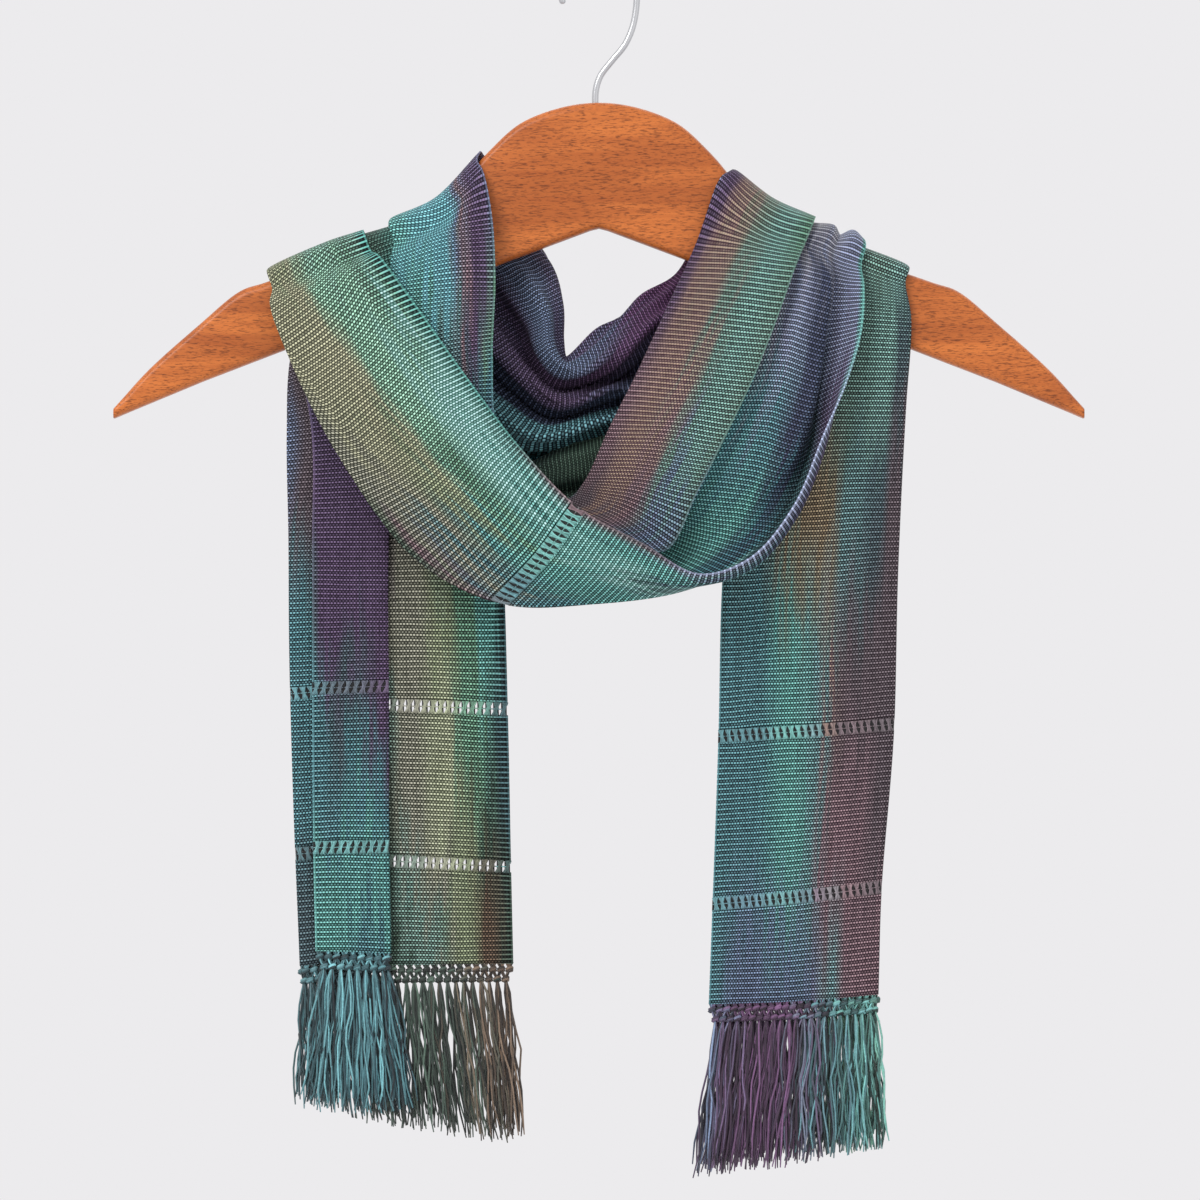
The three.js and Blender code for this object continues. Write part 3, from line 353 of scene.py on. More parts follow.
# How far the ribs run ahead of the sections, in millimetres.  Each row lies at a share of the stretch's
# length; its stops are the leads, each after its place across the cloth in per cent.
RIB_LEAD = {
    "loop": {
        0.00: "0 0, 68 0, 100 6",
        0.12: "0 0, 28 0, 40 -3, 56 0, 100 3",
        0.25: "0 0, 28 0, 42 -6, 56 0, 100 0",
        0.36: "0 0, 26 0, 42 -6, 56 0, 100 0",
        0.46: "0 0, 100 0",
        0.64: "0 0, 100 0",
        0.70: "0 3, 8 0, 30 2, 46 0, 100 0",
        0.78: "0 4, 8 1, 18 4, 32 12, 50 0, 68 0, 100 0",
        0.86: "0 3, 8 1, 18 8, 32 18, 52 0, 68 0, 100 4",
        0.92: "0 2, 8 2, 18 12, 32 22, 52 0, 68 0, 100 15",
        1.00: "0 0, 18 12, 32 24, 52 0, 68 0, 100 24",
    },
    "back_outer": {
        0.00: "0 0, 18 12, 32 24, 52 0, 68 0, 100 24",
        0.60: "0 0, 100 0",
        1.00: "0 0, 100 0",
    },
    "back_inner": {
        0.00: "0 0, 100 0",
        0.60: "0 0, 100 0",
        1.00: "0 0, 68 0, 100 6",
    },
}
# How clearly plain ribs show along the selvages: the share along the stretch, then selvages b and a.
EDGE_RIBS = {
    "tail_left": [(0.00, 0.15, 0.7), (1.00, 0.15, 0.7)],
    "back_inner": [(0.00, 0.2, 0.2), (1.00, 0.2, 0.2)],
    "loop": [
        (0.00, 0.2, 0.1), (0.50, 0.2, 0.1), (0.68, 0.35, 0.2), (0.80, 0.6, 0.3), (0.92, 0.9, 0.4),
        (1.00, 0.9, 0.4),
    ],
    "back_outer": [(0.00, 0.2, 0.2), (1.00, 0.2, 0.2)],
    "tail_right": [(0.00, 0.15, 0.15), (1.00, 0.15, 0.15)],
}
# Lengthwise ripples of the gathered stretches: how many lie across the cloth, and how high they are.
GATHERS = {"back_inner": {"count": 13, "height": 1.3}, "back_outer": {"count": 11, "height": 0.9}}
UNEVENNESS = 0.18  # height of the cloth's slow waves, in millimetres


# ---- settings -------------------------------------------------------------------------------------
def linear(colour):
    """An sRGB hex colour as linear RGB."""
    channels = [int(colour[i : i + 2], 16) / 255 for i in (1, 3, 5)]
    return [c / 12.92 if c <= 0.04045 else ((c + 0.055) / 1.055) ** 2.4 for c in channels]


def length_setting(name, text, millimetres):
    return FloatProperty(name=name, description=text, default=millimetres * MM, unit="LENGTH", precision=5)


def colour_setting(name, text, colour):
    return FloatVectorProperty(
        name=name, description=text, subtype="COLOR", default=linear(colour), min=0, max=1
    )


class ScarfSizes(bpy.types.PropertyGroup):
    wall: length_setting("Cloth", "Thickness of the cloth", 0.8)
    width: length_setting("Width", "Flat width, selvage to selvage", 180)
    cell: length_setting("Cell", "Length of one cell of the cloth's mesh", 2)
    rib: length_setting("Rib", "Distance from one rib to the next", 2.3)
    float_width: length_setting("Float", "Width of one warp float on a rib", 1.5)
    selvage: length_setting("Selvage", "Width of the plain-ribbed band along each edge", 6)
    cord: length_setting("Edge cord", "Width of the pale edge cord", 0.8)
    openwork: length_setting("Openwork", "Height of an openwork row", 5.2)
    bundle: length_setting("Bundle", "Distance between openwork bundles", 3.6)
    knot: length_setting("Knot", "Distance between fringe knots", 3.9)
    thread: length_setting("Thread", "Thickness of a fringe thread", 0.92)
    threads: IntProperty(name="Threads", description="Threads below each knot", default=11, min=1)


class HangerSettings(bpy.types.PropertyGroup):
    wire: length_setting("Wire", "Diameter of the hook's wire", 3)
    wood: colour_setting("Wood", "Colour of the wood", "#d27636")
    grain: colour_setting("Grain", "Colour of the dark grain", "#8f4217")
    floor: colour_setting("Floor", "Colour of the floor", "#e9e8e9")


# ---- curves ---------------------------------------------------------------------------------------
TINY = 1e-9


def catmull_rom(points, places, power=0.5):
    """Points of the curve through the rows of points, at places counted in rows.  Power 0.5 makes it
    centripetal and power 0 uniform."""
    points = np.asarray(points, float)
    places = np.asarray(places, float)
    last = len(points) - 1
    first = np.clip(np.floor(places).astype(int), 0, last - 1)
    t = (places - first).reshape((-1,) + (1,) * (points.ndim - 1))
    p1, p2 = points[first], points[first + 1]
    start = (first > 0).reshape(t.shape)
    end = (first + 2 <= last).reshape(t.shape)
    p0 = np.where(start, points[np.maximum(first - 1, 0)], 2 * p1 - p2)
    p3 = np.where(end, points[np.minimum(first + 2, last)], 2 * p2 - p1)

    def gap(a, b):
        return np.linalg.norm(b - a, axis=-1, keepdims=True) ** power

    d1 = np.maximum(gap(p1, p2), TINY)
    d0 = np.where(gap(p0, p1) < TINY, d1, gap(p0, p1))
    d2 = np.where(gap(p2, p3) < TINY, d1, gap(p2, p3))
    m1 = ((p1 - p0) / d0 - (p2 - p0) / (d0 + d1) + (p2 - p1) / d1) * d1
    m2 = ((p2 - p1) / d1 - (p3 - p1) / (d1 + d2) + (p3 - p2) / d2) * d1
    return p1 + m1 * t + (3 * (p2 - p1) - 2 * m1 - m2) * t**2 + (2 * (p1 - p2) + m1 + m2) * t**3


BOARD_CURVE = [(-x, z) for x, z in reversed(BOARD_TOP)] + BOARD_TOP[1:]
BOARD_POINTS = catmull_rom(BOARD_CURVE, np.linspace(0, len(BOARD_CURVE) - 1, 1201), power=0)
SLOPE_STEP = 0.4  # millimetres to either side, from which the board's slope is taken


def board_edge(x):
    """The board's top edge at x: its point and upward normal, in the X-Z plane."""
    before, z, after = (np.interp(x + move, *BOARD_POINTS.T) for move in (-SLOPE_STEP, 0, SLOPE_STEP))
    slope = after - before
    along = np.array([2 * SLOPE_STEP, slope]) / math.hypot(2 * SLOPE_STEP, slope)
    return np.array([x, 0.0, z]), np.array([-along[1], 0.0, along[0]])


def board_bottom(x):
    return np.interp(abs(x), *zip(*BOARD_BOTTOM))


# ---- sections of the cloth ------------------------------------------------------------------------
def filled(row):
    """The row's nine points, with the columns that it leaves out evenly between their neighbours."""
    given = [i for i, name in enumerate(COLUMNS) if name in row]
    known = np.array([(*row[COLUMNS[i]], 0)[:3] for i in given], float)
    columns = range(len(COLUMNS))
    return np.stack([np.interp(columns, given, known[:, axis]) for axis in range(3)], axis=1)


def unit(vectors):
    return vectors / np.maximum(np.linalg.norm(vectors, axis=-1, keepdims=True), 1e-12)


def fold_points(before, fold, after, stack, gap):
    """A fold as three points, so that its two layers stay apart right up to the bend."""
    to_before, to_after = unit(before - fold), unit(after - fold)
    opened = [fold + to_before * gap, fold + to_after * gap]
    pressed = min(max((to_before @ to_after - 0.2) / 0.5, 0), 1)  # from 0 for an open bend to 1
    if pressed == 0:
        return [opened[0], fold, opened[1]]
    inward = unit(to_before + to_after)
    difference = to_before - to_after
    flat = abs(stack @ inward) < 0.5
    apart = stack * (np.sign(difference @ stack) or 1) if flat else difference
    apart = unit(apart - inward * (apart @ inward))
    layers = [fold + inward * gap * 0.6 + apart * side * gap for side in (0.5, -0.5)]
    return [
        opened[0] + (layers[0] - opened[0]) * pressed,
        fold,
        opened[1] + (layers[1] - opened[1]) * pressed,
    ]


def section_points(points, stack, gap):
    """The section's fifteen points from selvage b to selvage a, with the folds opened out."""
    section = []
    for i, name in enumerate(COLUMNS):
        if name in FOLD_COLUMNS:
            section += fold_points(points[i - 1], points[i], points[i + 1], stack, gap)
        else:
            section.append(points[i])
    return np.array(section)


def over_the_board(row, from_front):
    """The five sections that carry the cloth over the board's rounded top."""
    made = []
    for turn in SHOULDER_TURNS if from_front else SHOULDER_TURNS[::-1]:
        angle = math.radians(turn)
        points = []
        for x, height, drift in filled(row):
            point, up = board_edge(x - drift * min(0, math.sin(angle)))
            radius = BOARD_EDGE + height
            place = point + up * (radius * math.cos(angle) - BOARD_EDGE)
            place[1] = np.sign(turn) * (BOARD / 2 - BOARD_EDGE) + radius * math.sin(angle)
            points.append(place)
        middle = board_edge((row["b"][0] + row["a"][0]) / 2)[1] * math.cos(angle)
        middle[1] = math.sin(angle)
        made.append(section_points(np.array(points), middle, row.get("fold", FOLD)))
    return made


def sections_of(rows):
    front_to_back = np.array([0.0, 1.0, 0.0])
    return [section_points(filled(row), front_to_back, row.get("fold", FOLD)) for row in rows]


# The stretches from hem to hem: the name, how many sections further it reaches at each end to meet its
# neighbours, and its own sections.
STRETCHES = [
    ("tail_left", 0, sections_of(TAIL_LEFT) + over_the_board(OVER_LEFT_INNER, True)),
    ("back_inner", 1, sections_of(BACK_INNER)),
    ("loop", 0, over_the_board(OVER_RIGHT_OUTER, False) + sections_of(LOOP)
     + over_the_board(OVER_LEFT_OUTER, True)),
    ("back_outer", 1, sections_of(BACK_OUTER)),
    ("tail_right", 0, over_the_board(OVER_RIGHT_INNER, False) + sections_of(TAIL_RIGHT)),
]
RAILS = np.array([section for _, _, own in STRETCHES for section in own]) * MM

# Cells across the cloth in each of the fourteen spans between a section's fifteen points.
PLAIN_CELLS, FOLD_CELLS = 10, 3
SPAN_CELLS = [PLAIN_CELLS] + [PLAIN_CELLS, FOLD_CELLS, FOLD_CELLS, PLAIN_CELLS] * 3 + [PLAIN_CELLS]
ACROSS = np.concatenate([[0.0]] + [span + np.arange(1, n + 1) / n for span, n in enumerate(SPAN_CELLS)])


def lines_at(places):
    """The cloth's middle surface at places along it: one row of points from selvage b to selvage a each."""
    rails = catmull_rom(RAILS, places)
    across = catmull_rom(np.swapaxes(rails, 0, 1), ACROSS)
    return np.swapaxes(across, 0, 1)


def lengths(points):
    """Length along the rows of points, from the first one."""
    steps = np.linalg.norm(np.diff(points, axis=0), axis=-1)
    return np.concatenate([np.zeros_like(steps[:1]), np.cumsum(steps, axis=0)])


PLACES = np.linspace(0, len(RAILS) - 1, (len(RAILS) - 1) * 24 + 1)
ALONG = lengths(lines_at(PLACES)).mean(axis=1)  # metres along the cloth at each of those places


def place_of(along):
    return np.interp(along, ALONG, PLACES)


def along_of(place):
    return np.interp(place, PLACES, ALONG)


def ranges():
    """Each stretch's name with the places where it starts and ends."""
    start = 0
    for name, joins, own in STRETCHES:
        yield name, start - joins, start + len(own) - 1 + joins
        start += len(own)


def openwork_sections(rows, start):
    return [start + i for i, row in enumerate(rows) if "openwork" in row["at"]]


# Openwork rows lie on these sections.
LOOP_START = len(TAIL_LEFT) + len(BACK_INNER) + 2 * len(SHOULDER_TURNS)
OPENWORK_ROWS = {
    "tail_left": openwork_sections(TAIL_LEFT, 0),
    "loop": openwork_sections(LOOP, LOOP_START),
    "tail_right": openwork_sections(TAIL_RIGHT, len(RAILS) - len(TAIL_RIGHT)),
}


# ---- dyeing ---------------------------------------------------------------------------------------
def blended(stations, stripes, shares_along):
    """Values at shares along a stretch, eased from one row of stripes (row, place, channel) to the next."""
    place = np.interp(shares_along, stations, np.arange(len(stations)))
    first = np.clip(np.floor(place).astype(int), 0, len(stations) - 2)
    blend = place - first
    blend = (blend * blend * (3 - 2 * blend))[:, None]
    columns = np.arange(stripes.shape[1])
    return stripes[first, columns] * (1 - blend) + stripes[first + 1, columns] * blend


def bath(name):
    """A dye bath's ground and float colours, linear, such that together they give its shade."""
    ground, shade = (np.array(linear(colour)) for colour in DYES[name])
    light = np.clip((shade - (1 - FLOAT_SHARE) * ground) / FLOAT_SHARE, 0, 0.95)
    return np.concatenate([ground, light])


def stops(row):
    """A row's stops: their shares across the cloth, and what stands at each."""
    pairs = [stop.split() for stop in row.split(", ")]
    return [float(per_cent) / 100 for per_cent, _ in pairs], [value for _, value in pairs]


def stripes_at(row, shares):
    """The colours of one row of dyes at shares across the cloth."""
    known, names = stops(row)
    place = np.interp(shares, known, np.arange(len(known)))
    first = np.clip(np.floor(place).astype(int), 0, len(known) - 2)
    blend = np.clip((place - first - 0.5) * STRIPE_EDGE + 0.5, 0, 1)[..., None]
    colours = np.array([bath(name) for name in names])
    return colours[first] * (1 - blend) + colours[first + 1] * blend


def dye_lookup(stretch, shares_along, shares_across):
    """Ground and float colours, linear, at shares along the stretch and across the cloth."""
    rows = DYE_ROWS[stretch]
    stripes = np.array([stripes_at(row, shares_across) for row in rows.values()])
    return blended(list(rows), stripes, shares_along)


def rib_lead(stretch, share_along, shares_across):
    """How far the ribs run ahead at one share along the stretch, in metres."""
    if stretch not in RIB_LEAD:
        return np.zeros_like(shares_across)
    stripes = []
    for row in RIB_LEAD[stretch].values():
        known, leads = stops(row)
        stripes.append(np.interp(shares_across, known, [float(lead) for lead in leads]))
    shares = np.full(len(shares_across), share_along)
    return blended(list(RIB_LEAD[stretch]), np.array(stripes)[..., None], shares)[:, 0] * MM


YARN_REACH = 0.022  # how far a yarn's dye baths lie off along the stretch, as a share of its length
YARN_DRIFT = 0.006  # how far they lie off across the cloth, as a share of its width


def dyed(stretch, shares_along, shares_across, seed):
    """The colours of a whole grid, each warp yarn's dye bath a little further up or down."""
    random = np.random.default_rng(seed)
    count = len(shares_across[0])
    reach = random.normal(0, YARN_REACH, count) + 0.02 * np.sin(np.arange(count) * 0.37)
    drift = random.normal(0, YARN_DRIFT, count)
    grid = [
        dye_lookup(stretch, np.clip(share + reach, 0, 1), np.clip(across + drift, 0, 1))
        for share, across in zip(shares_along, shares_across)
    ]
    return np.array(grid)


# ---- meshes ---------------------------------------------------------------------------------------
def mesh_object(name, points, faces, node, material, colours=None, weave=None):
    """A mesh piece that rides on the part and stands for a node; colours and weave are given per point."""
    mesh = bpy.data.meshes.new(name)
    mesh.from_pydata([tuple(p) for p in points], [], [tuple(f) for f in faces])
    mesh.validate()
    mesh.polygons.foreach_set("use_smooth", [True] * len(mesh.polygons))
    if colours is not None:
        for key, values in colours.items():
            layer = mesh.attributes.new(key, "FLOAT_COLOR", "POINT")
            layer.data.foreach_set("color", np.column_stack([values, np.ones(len(values))]).ravel())
    if weave is not None:
        layer = mesh.uv_layers.new(name="weave")
        corners = np.empty(len(mesh.loops), dtype=int)
        mesh.loops.foreach_get("vertex_index", corners)
        layer.data.foreach_set("uv", np.asarray(weave)[corners].ravel())
    piece = bpy.data.objects.new(name, mesh)
    bpy.context.scene.collection.objects.link(piece)
    piece.data.materials.append(material)
    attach(piece, "root")
    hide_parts(node)
    return piece


def grid_faces(rows, count, offset=0, flip=False):
    i, j = np.meshgrid(np.arange(rows - 1), np.arange(count - 1), indexing="ij")
    corner = (offset + i * count + j).ravel()
    faces = np.stack([corner, corner + 1, corner + count + 1, corner + count], axis=1)
    return faces[:, ::-1] if flip else faces


def wall_faces(rows, count):
    """Faces of a closed wall whose front points come first and whose back points follow."""
    back = rows * count
    faces = [grid_faces(rows, count), grid_faces(rows, count, back, flip=True)]
    rim = [i * count for i in range(rows)] + [(rows - 1) * count + j for j in range(1, count)]
    rim += [i * count + count - 1 for i in range(rows - 2, -1, -1)] + list(range(count - 2, 0, -1))
    rim = np.array(rim)
    after = np.roll(rim, -1)
    faces.append(np.stack([rim, after, after + back, rim + back], axis=1))
    return np.concatenate(faces)


def tubes(paths, radii, sides):
    """Tubes along many paths of as many points each: paths (n, k, 3) and radii (n, k)."""
    paths = np.asarray(paths, float)
    n, k, _ = paths.shape
    tangent = unit(np.gradient(paths, axis=1))
    helper = np.where(np.abs(tangent[..., 1:2]) < 0.8, [[[0.0, 1.0, 0.0]]], [[[1.0, 0.0, 0.0]]])
    side = unit(np.cross(tangent, helper))
    other = np.cross(tangent, side)
    angles = np.arange(sides) * 2 * math.pi / sides
    ring = np.cos(angles)[:, None] * side[:, :, None] + np.sin(angles)[:, None] * other[:, :, None]
    points = (paths[:, :, None] + ring * np.asarray(radii)[:, :, None, None]).reshape(-1, 3)
    tube, step, turn = np.meshgrid(np.arange(n), np.arange(k - 1), np.arange(sides), indexing="ij")
    base = (tube * k + step) * sides
    following = (turn + 1) % sides
    corners = [base + turn, base + following, base + sides + following, base + sides + turn]
    faces = [list(face) for face in np.stack(corners, axis=-1).reshape(-1, 4)]
    for t in range(n):
        faces.append([t * k * sides + s for s in range(sides)][::-1])
        faces.append([(t * k + k - 1) * sides + s for s in range(sides)])
    return points, faces


# ---- materials ------------------------------------------------------------------------------------
def add_node(tree, kind, settings=(), **links):
    """Adds a node, sets its properties and its sockets' values, and links what is given to its sockets:
    n0, n1 and so on are sockets by their number, and other names are the sockets' own."""
    node = tree.nodes.new(kind)
    for key, value in dict(settings).items():
        if isinstance(key, str) and hasattr(node, key):
            setattr(node, key, value)
        else:
            node.inputs[key].default_value = value
    for socket, source in links.items():
        name = socket.replace("_", " ") if not socket.startswith("n") else int(socket[1:])
        tree.links.new(source, node.inputs[name])
    return node


def new_material(name, values):
    """A material whose shader has these values on its own sockets."""
    material = bpy.data.materials.new(name)
    material.use_nodes = True
    tree = material.node_tree
    tree.nodes.clear()
    shader = add_node(tree, "ShaderNodeBsdfPrincipled", values)
    add_node(tree, "ShaderNodeOutputMaterial", n0=shader.outputs[0])
    return material, tree, shader


def maths(tree, operation, *values):
    """One sum of the values, each a number or a node's output."""
    node = add_node(tree, "ShaderNodeMath", {"operation": operation})
    for socket, value in zip(node.inputs, values):
        if isinstance(value, (int, float)):
            socket.default_value = value
        else:
            tree.links.new(value, socket)
    return node.outputs[0]


def ranged(tree, source, settings):
    """The source stretched or squeezed to another range."""
    return add_node(tree, "ShaderNodeMapRange", settings, n0=source).outputs[0]


def add_bump(tree, shader, height, settings):
    bump = add_node(tree, "ShaderNodeBump", settings, Height=height)
    tree.links.new(bump.outputs[0], shader.inputs["Normal"])


def add_shade(tree, shader, colour, tone):
    """The colour made lighter or darker by the tone, as the shader's base colour."""
    shaded = add_node(tree, "ShaderNodeHueSaturation", n4=colour, n2=tone)
    tree.links.new(shaded.outputs[0], shader.inputs["Base Color"])


def woven_cloth():
    """Rayon and cotton rep, woven with space-dyed warp and a thick weft: crosswise ribs that carry rows of
    lighter warp floats, with a soft sheen and streaks where the dye crept along single yarns.  The real
    floats are 1.1 mm wide; they are drawn 1.5 mm wide, so that single ones show."""
    sizes = bpy.context.scene.scarf_sizes
    values = {
        "Roughness": 0.62, "IOR": 1.5, "Specular IOR Level": 0.12, "Sheen Weight": 0.03,
        "Sheen Roughness": 0.4,
    }
    material, tree, shader = new_material("space_dyed_rep_weave", values)
    weave = add_node(tree, "ShaderNodeUVMap", {"uv_map": "weave"}).outputs[0]
    split = add_node(tree, "ShaderNodeSeparateXYZ", n0=weave)
    across, along = split.outputs[0], split.outputs[1]

    def sum_of(operation, *values):
        return maths(tree, operation, *values)

    def clipped(value):
        return sum_of("MINIMUM", sum_of("MAXIMUM", value, 0), 1)

    def noise(place, scale, detail):
        settings = {"noise_dimensions": "2D", "Scale": scale, "Detail": detail}
        return add_node(tree, "ShaderNodeTexNoise", settings, n0=place).outputs[0]

    def noise_at(first, second, detail):
        """Noise whose marks are one unit of first wide and one unit of second long."""
        place = add_node(tree, "ShaderNodeCombineXYZ", n0=first, n1=second)
        return noise(place.outputs[0], 1.0, detail)

    def attribute(name):
        return add_node(tree, "ShaderNodeAttribute", {"attribute_name": name}).outputs[0]

    # Ribs wander a little, because the weft was beaten in by hand.
    wander = sum_of("SUBTRACT", noise(weave, 1 / (45 * MM), 1), 0.5)
    row = sum_of("DIVIDE", sum_of("MULTIPLY_ADD", wander, 2.2 * MM, along), sizes.rib)
    wave = sum_of("COSINE", sum_of("MULTIPLY", row, 2 * math.pi))
    crest = clipped(sum_of("MULTIPLY_ADD", wave, 2.4, -0.9))
    trough = clipped(sum_of("MULTIPLY_ADD", wave, -2.4, -0.9))
    yarn = sum_of("DIVIDE", across, sizes.float_width)
    beat = sum_of("COSINE", sum_of("MULTIPLY", yarn, 2 * math.pi))
    floats = sum_of("MULTIPLY_ADD", beat, 0.52, 0.52)
    between = sum_of("MULTIPLY_ADD", beat, -0.5, 0.5)

    # Towards some selvages the floats close up into plain ribs; the selvage itself is a pale cord.
    ribs = attribute("edge_ribs")
    to_edge = sum_of("MINIMUM", across, sum_of("SUBTRACT", sizes.width, across))
    cord = sum_of("LESS_THAN", to_edge, sizes.cord)
    floats = add_node(tree, "ShaderNodeMix", {3: 0.85}, n0=ribs, n2=floats).outputs[0]
    inner = sum_of("MULTIPLY", sum_of("SUBTRACT", 1, ribs), 0.55)
    between = sum_of("MULTIPLY", between, inner)

    # Every float catches the light differently; streaks follow single warp yarns for a few centimetres.
    speck = noise_at(yarn, row, 1)
    streak = noise_at(sum_of("MULTIPLY", yarn, 0.55), sum_of("DIVIDE", along, 38 * MM), 2)
    picked = ranged(tree, streak, {"From Min": 0.38, "From Max": 0.62})

    def dye(layer):
        """A layer's colour, which comes early on some yarns and late on others."""
        links = {"n0": picked, "n6": attribute(f"{layer}_early"), "n7": attribute(f"{layer}_late")}
        return add_node(tree, "ShaderNodeMix", {"data_type": "RGBA"}, **links).outputs[2]

    on_crests = sum_of("MULTIPLY", crest, floats)
    lit = sum_of("MULTIPLY", on_crests, sum_of("MULTIPLY_ADD", speck, 2.2, 0.45))
    in_troughs = sum_of("MULTIPLY", trough, between)
    dim = sum_of("MULTIPLY", in_troughs, sum_of("MULTIPLY_ADD", speck, 1.1, 0.2))
    woven = sum_of("MINIMUM", sum_of("ADD", lit, dim), 1)
    cover = sum_of("MAXIMUM", woven, sum_of("MULTIPLY", cord, 0.4))
    links = {"n0": cover, "n6": dye("ground"), "n7": dye("float")}
    mixed = add_node(tree, "ShaderNodeMix", {"data_type": "RGBA"}, **links).outputs[2]
    add_shade(tree, shader, mixed, sum_of("MULTIPLY_ADD", streak, 0.5, 0.8))
    beads = sum_of("MULTIPLY", sum_of("MULTIPLY", beat, crest), 0.35)
    height = sum_of("ADD", sum_of("MULTIPLY", wave, 0.5), beads)
    add_bump(tree, shader, height, {"Strength": 0.9, "Distance": 0.45 * MM})
    return material


def twisted_thread():
    """Plied rayon thread, dyed with the warp: smooth and lustrous.  Fine noise makes it lighter and darker
    in small patches, as painted shade in the grooves between the plies.
    """
    values = {"Roughness": 0.45, "IOR": 1.5, "Sheen Weight": 0.15}
    material, tree, shader = new_material("plied_rayon_thread", values)
    dye = add_node(tree, "ShaderNodeAttribute", {"attribute_name": "thread_dye"}).outputs[0]
    place = add_node(tree, "ShaderNodeTexCoord").outputs["Object"]
    marks = {"Scale": 1 / (1.1 * MM), "Detail": 1}
    noise = add_node(tree, "ShaderNodeTexNoise", marks, n0=place).outputs[0]
    # Painted shade: the noise darkens and lightens the dye in small patches.
    add_shade(tree, shader, dye, ranged(tree, noise, {"To Min": 0.6, "To Max": 1.4}))
    add_bump(tree, shader, noise, {"Strength": 0.5, "Distance": 0.15 * MM})
    return material


def varnished_mahogany():
    """Mahogany board, sanded and varnished: warm red-brown ribbons along the board, darker streaks and fine
    dark pores 2 to 3 mm long, under a satin coat."""
    hanger = bpy.context.scene.hanger_settings
    values = {
        "Roughness": 0.38, "IOR": 1.5, "Specular IOR Level": 0.3, "Coat Weight": 0.1,
        "Coat Roughness": 0.3,
    }
    material, tree, shader = new_material("varnished_mahogany", values)
    place = add_node(tree, "ShaderNodeTexCoord").outputs["Object"]

    def stretched(width, length, detail):
        """Noise whose marks are about this wide and this long along the board, in millimetres."""
        shape = {"Scale": (width / length, 1, 1), "Rotation": (0, 0.05, 0)}
        mapping = add_node(tree, "ShaderNodeMapping", shape, n0=place)
        marks = {"Scale": 1 / (width * MM), "Detail": detail}
        return add_node(tree, "ShaderNodeTexNoise", marks, n0=mapping.outputs[0]).outputs[0]

    # Ribbons, fine streaks and pores: the size of the marks, where they start and end in the noise, how
    # strong they are and their colour.
    layers = (
        ((13, 110, 3), (0.42, 0.62), 0.5, hanger.grain),
        ((2.4, 48, 3), (0.4, 0.75), 0.5, linear("#a14e1f")),
        ((0.4, 2.6, 2), (0.5, 0.68), 0.7, linear("#4a1d08")),
    )
    below = {}
    for size, (low, high), strength, colour in layers:
        marks = ranged(tree, stretched(*size), {"From Min": low, "From Max": high})
        colours = {"data_type": "RGBA", 6: (*hanger.wood, 1), 7: (*colour, 1)}
        share = maths(tree, "MULTIPLY", marks, strength)
        below = {"n6": add_node(tree, "ShaderNodeMix", colours, n0=share, **below).outputs[2]}
    tree.links.new(below["n6"], shader.inputs["Base Color"])
    add_bump(tree, shader, marks, {"Strength": 0.15, "Distance": 0.1 * MM, "invert": True})
    return material


def drawn_wire():
    """Zinc-plated steel wire, drawn: bright grey with faint dullness in patches."""
    values = {"Base Color": (*linear("#c9cacc"), 1), "Metallic": 1}
    material, tree, shader = new_material("zinc_plated_wire", values)
    place = add_node(tree, "ShaderNodeTexCoord").outputs["Object"]
    marks = {"Scale": 1 / (4 * MM), "Detail": 2}
    noise = add_node(tree, "ShaderNodeTexNoise", marks, n0=place).outputs[0]
    rough = ranged(tree, noise, {"To Min": 0.22, "To Max": 0.4})
    tree.links.new(rough, shader.inputs["Roughness"])
    return material


def shared(name, maker):
    return bpy.data.materials.get(name) or maker()


# ---- operators ------------------------------------------------------------------------------------
class SCARF_OT_board(bpy.types.Operator):
    """Shapes the hanger's mahogany board"""

    bl_idname = "scarf.board"
    bl_label = "Hanger board"

    def execute(self, context):
        tip = BOARD_TOP[-1][0] - 0.5
        spans = ((-tip, -200, 16), (-198, 198, 199), (200, tip, 16))
        stations = np.concatenate([np.linspace(*span) for span in spans])
        rings = []
        for x in stations:
            top, bottom = board_edge(x)[0][2], board_bottom(x)
            ease = min(BOARD_EDGE, (top - bottom) * 0.45)
            for side_y, side_z, start in ((1, 1, 0), (-1, 1, 90), (-1, -1, 180), (1, -1, 270)):
                for turn in np.linspace(0, 90, EASE_STEPS):
                    angle = math.radians(start + turn)
                    y = side_y * (BOARD / 2 - ease) + ease * math.cos(angle)
                    z = (top - ease if side_z > 0 else bottom + ease) + ease * math.sin(angle)
                    rings.append((x, y, z))
        points = np.array(rings) * MM
        size = 4 * EASE_STEPS
        last = (len(stations) - 1) * size
        faces = []
        for ring in range(0, last, size):
            for k in range(size):
                following = (k + 1) % size
                faces.append([ring + k, ring + following, ring + size + following, ring + size + k])
        faces.append(list(range(size))[::-1])
        faces.append([last + k for k in range(size)])
        wood = shared("varnished_mahogany", varnished_mahogany)
        piece = mesh_object("mahogany_board", points, faces, "hanger_board", wood)
        return {"FINISHED"}


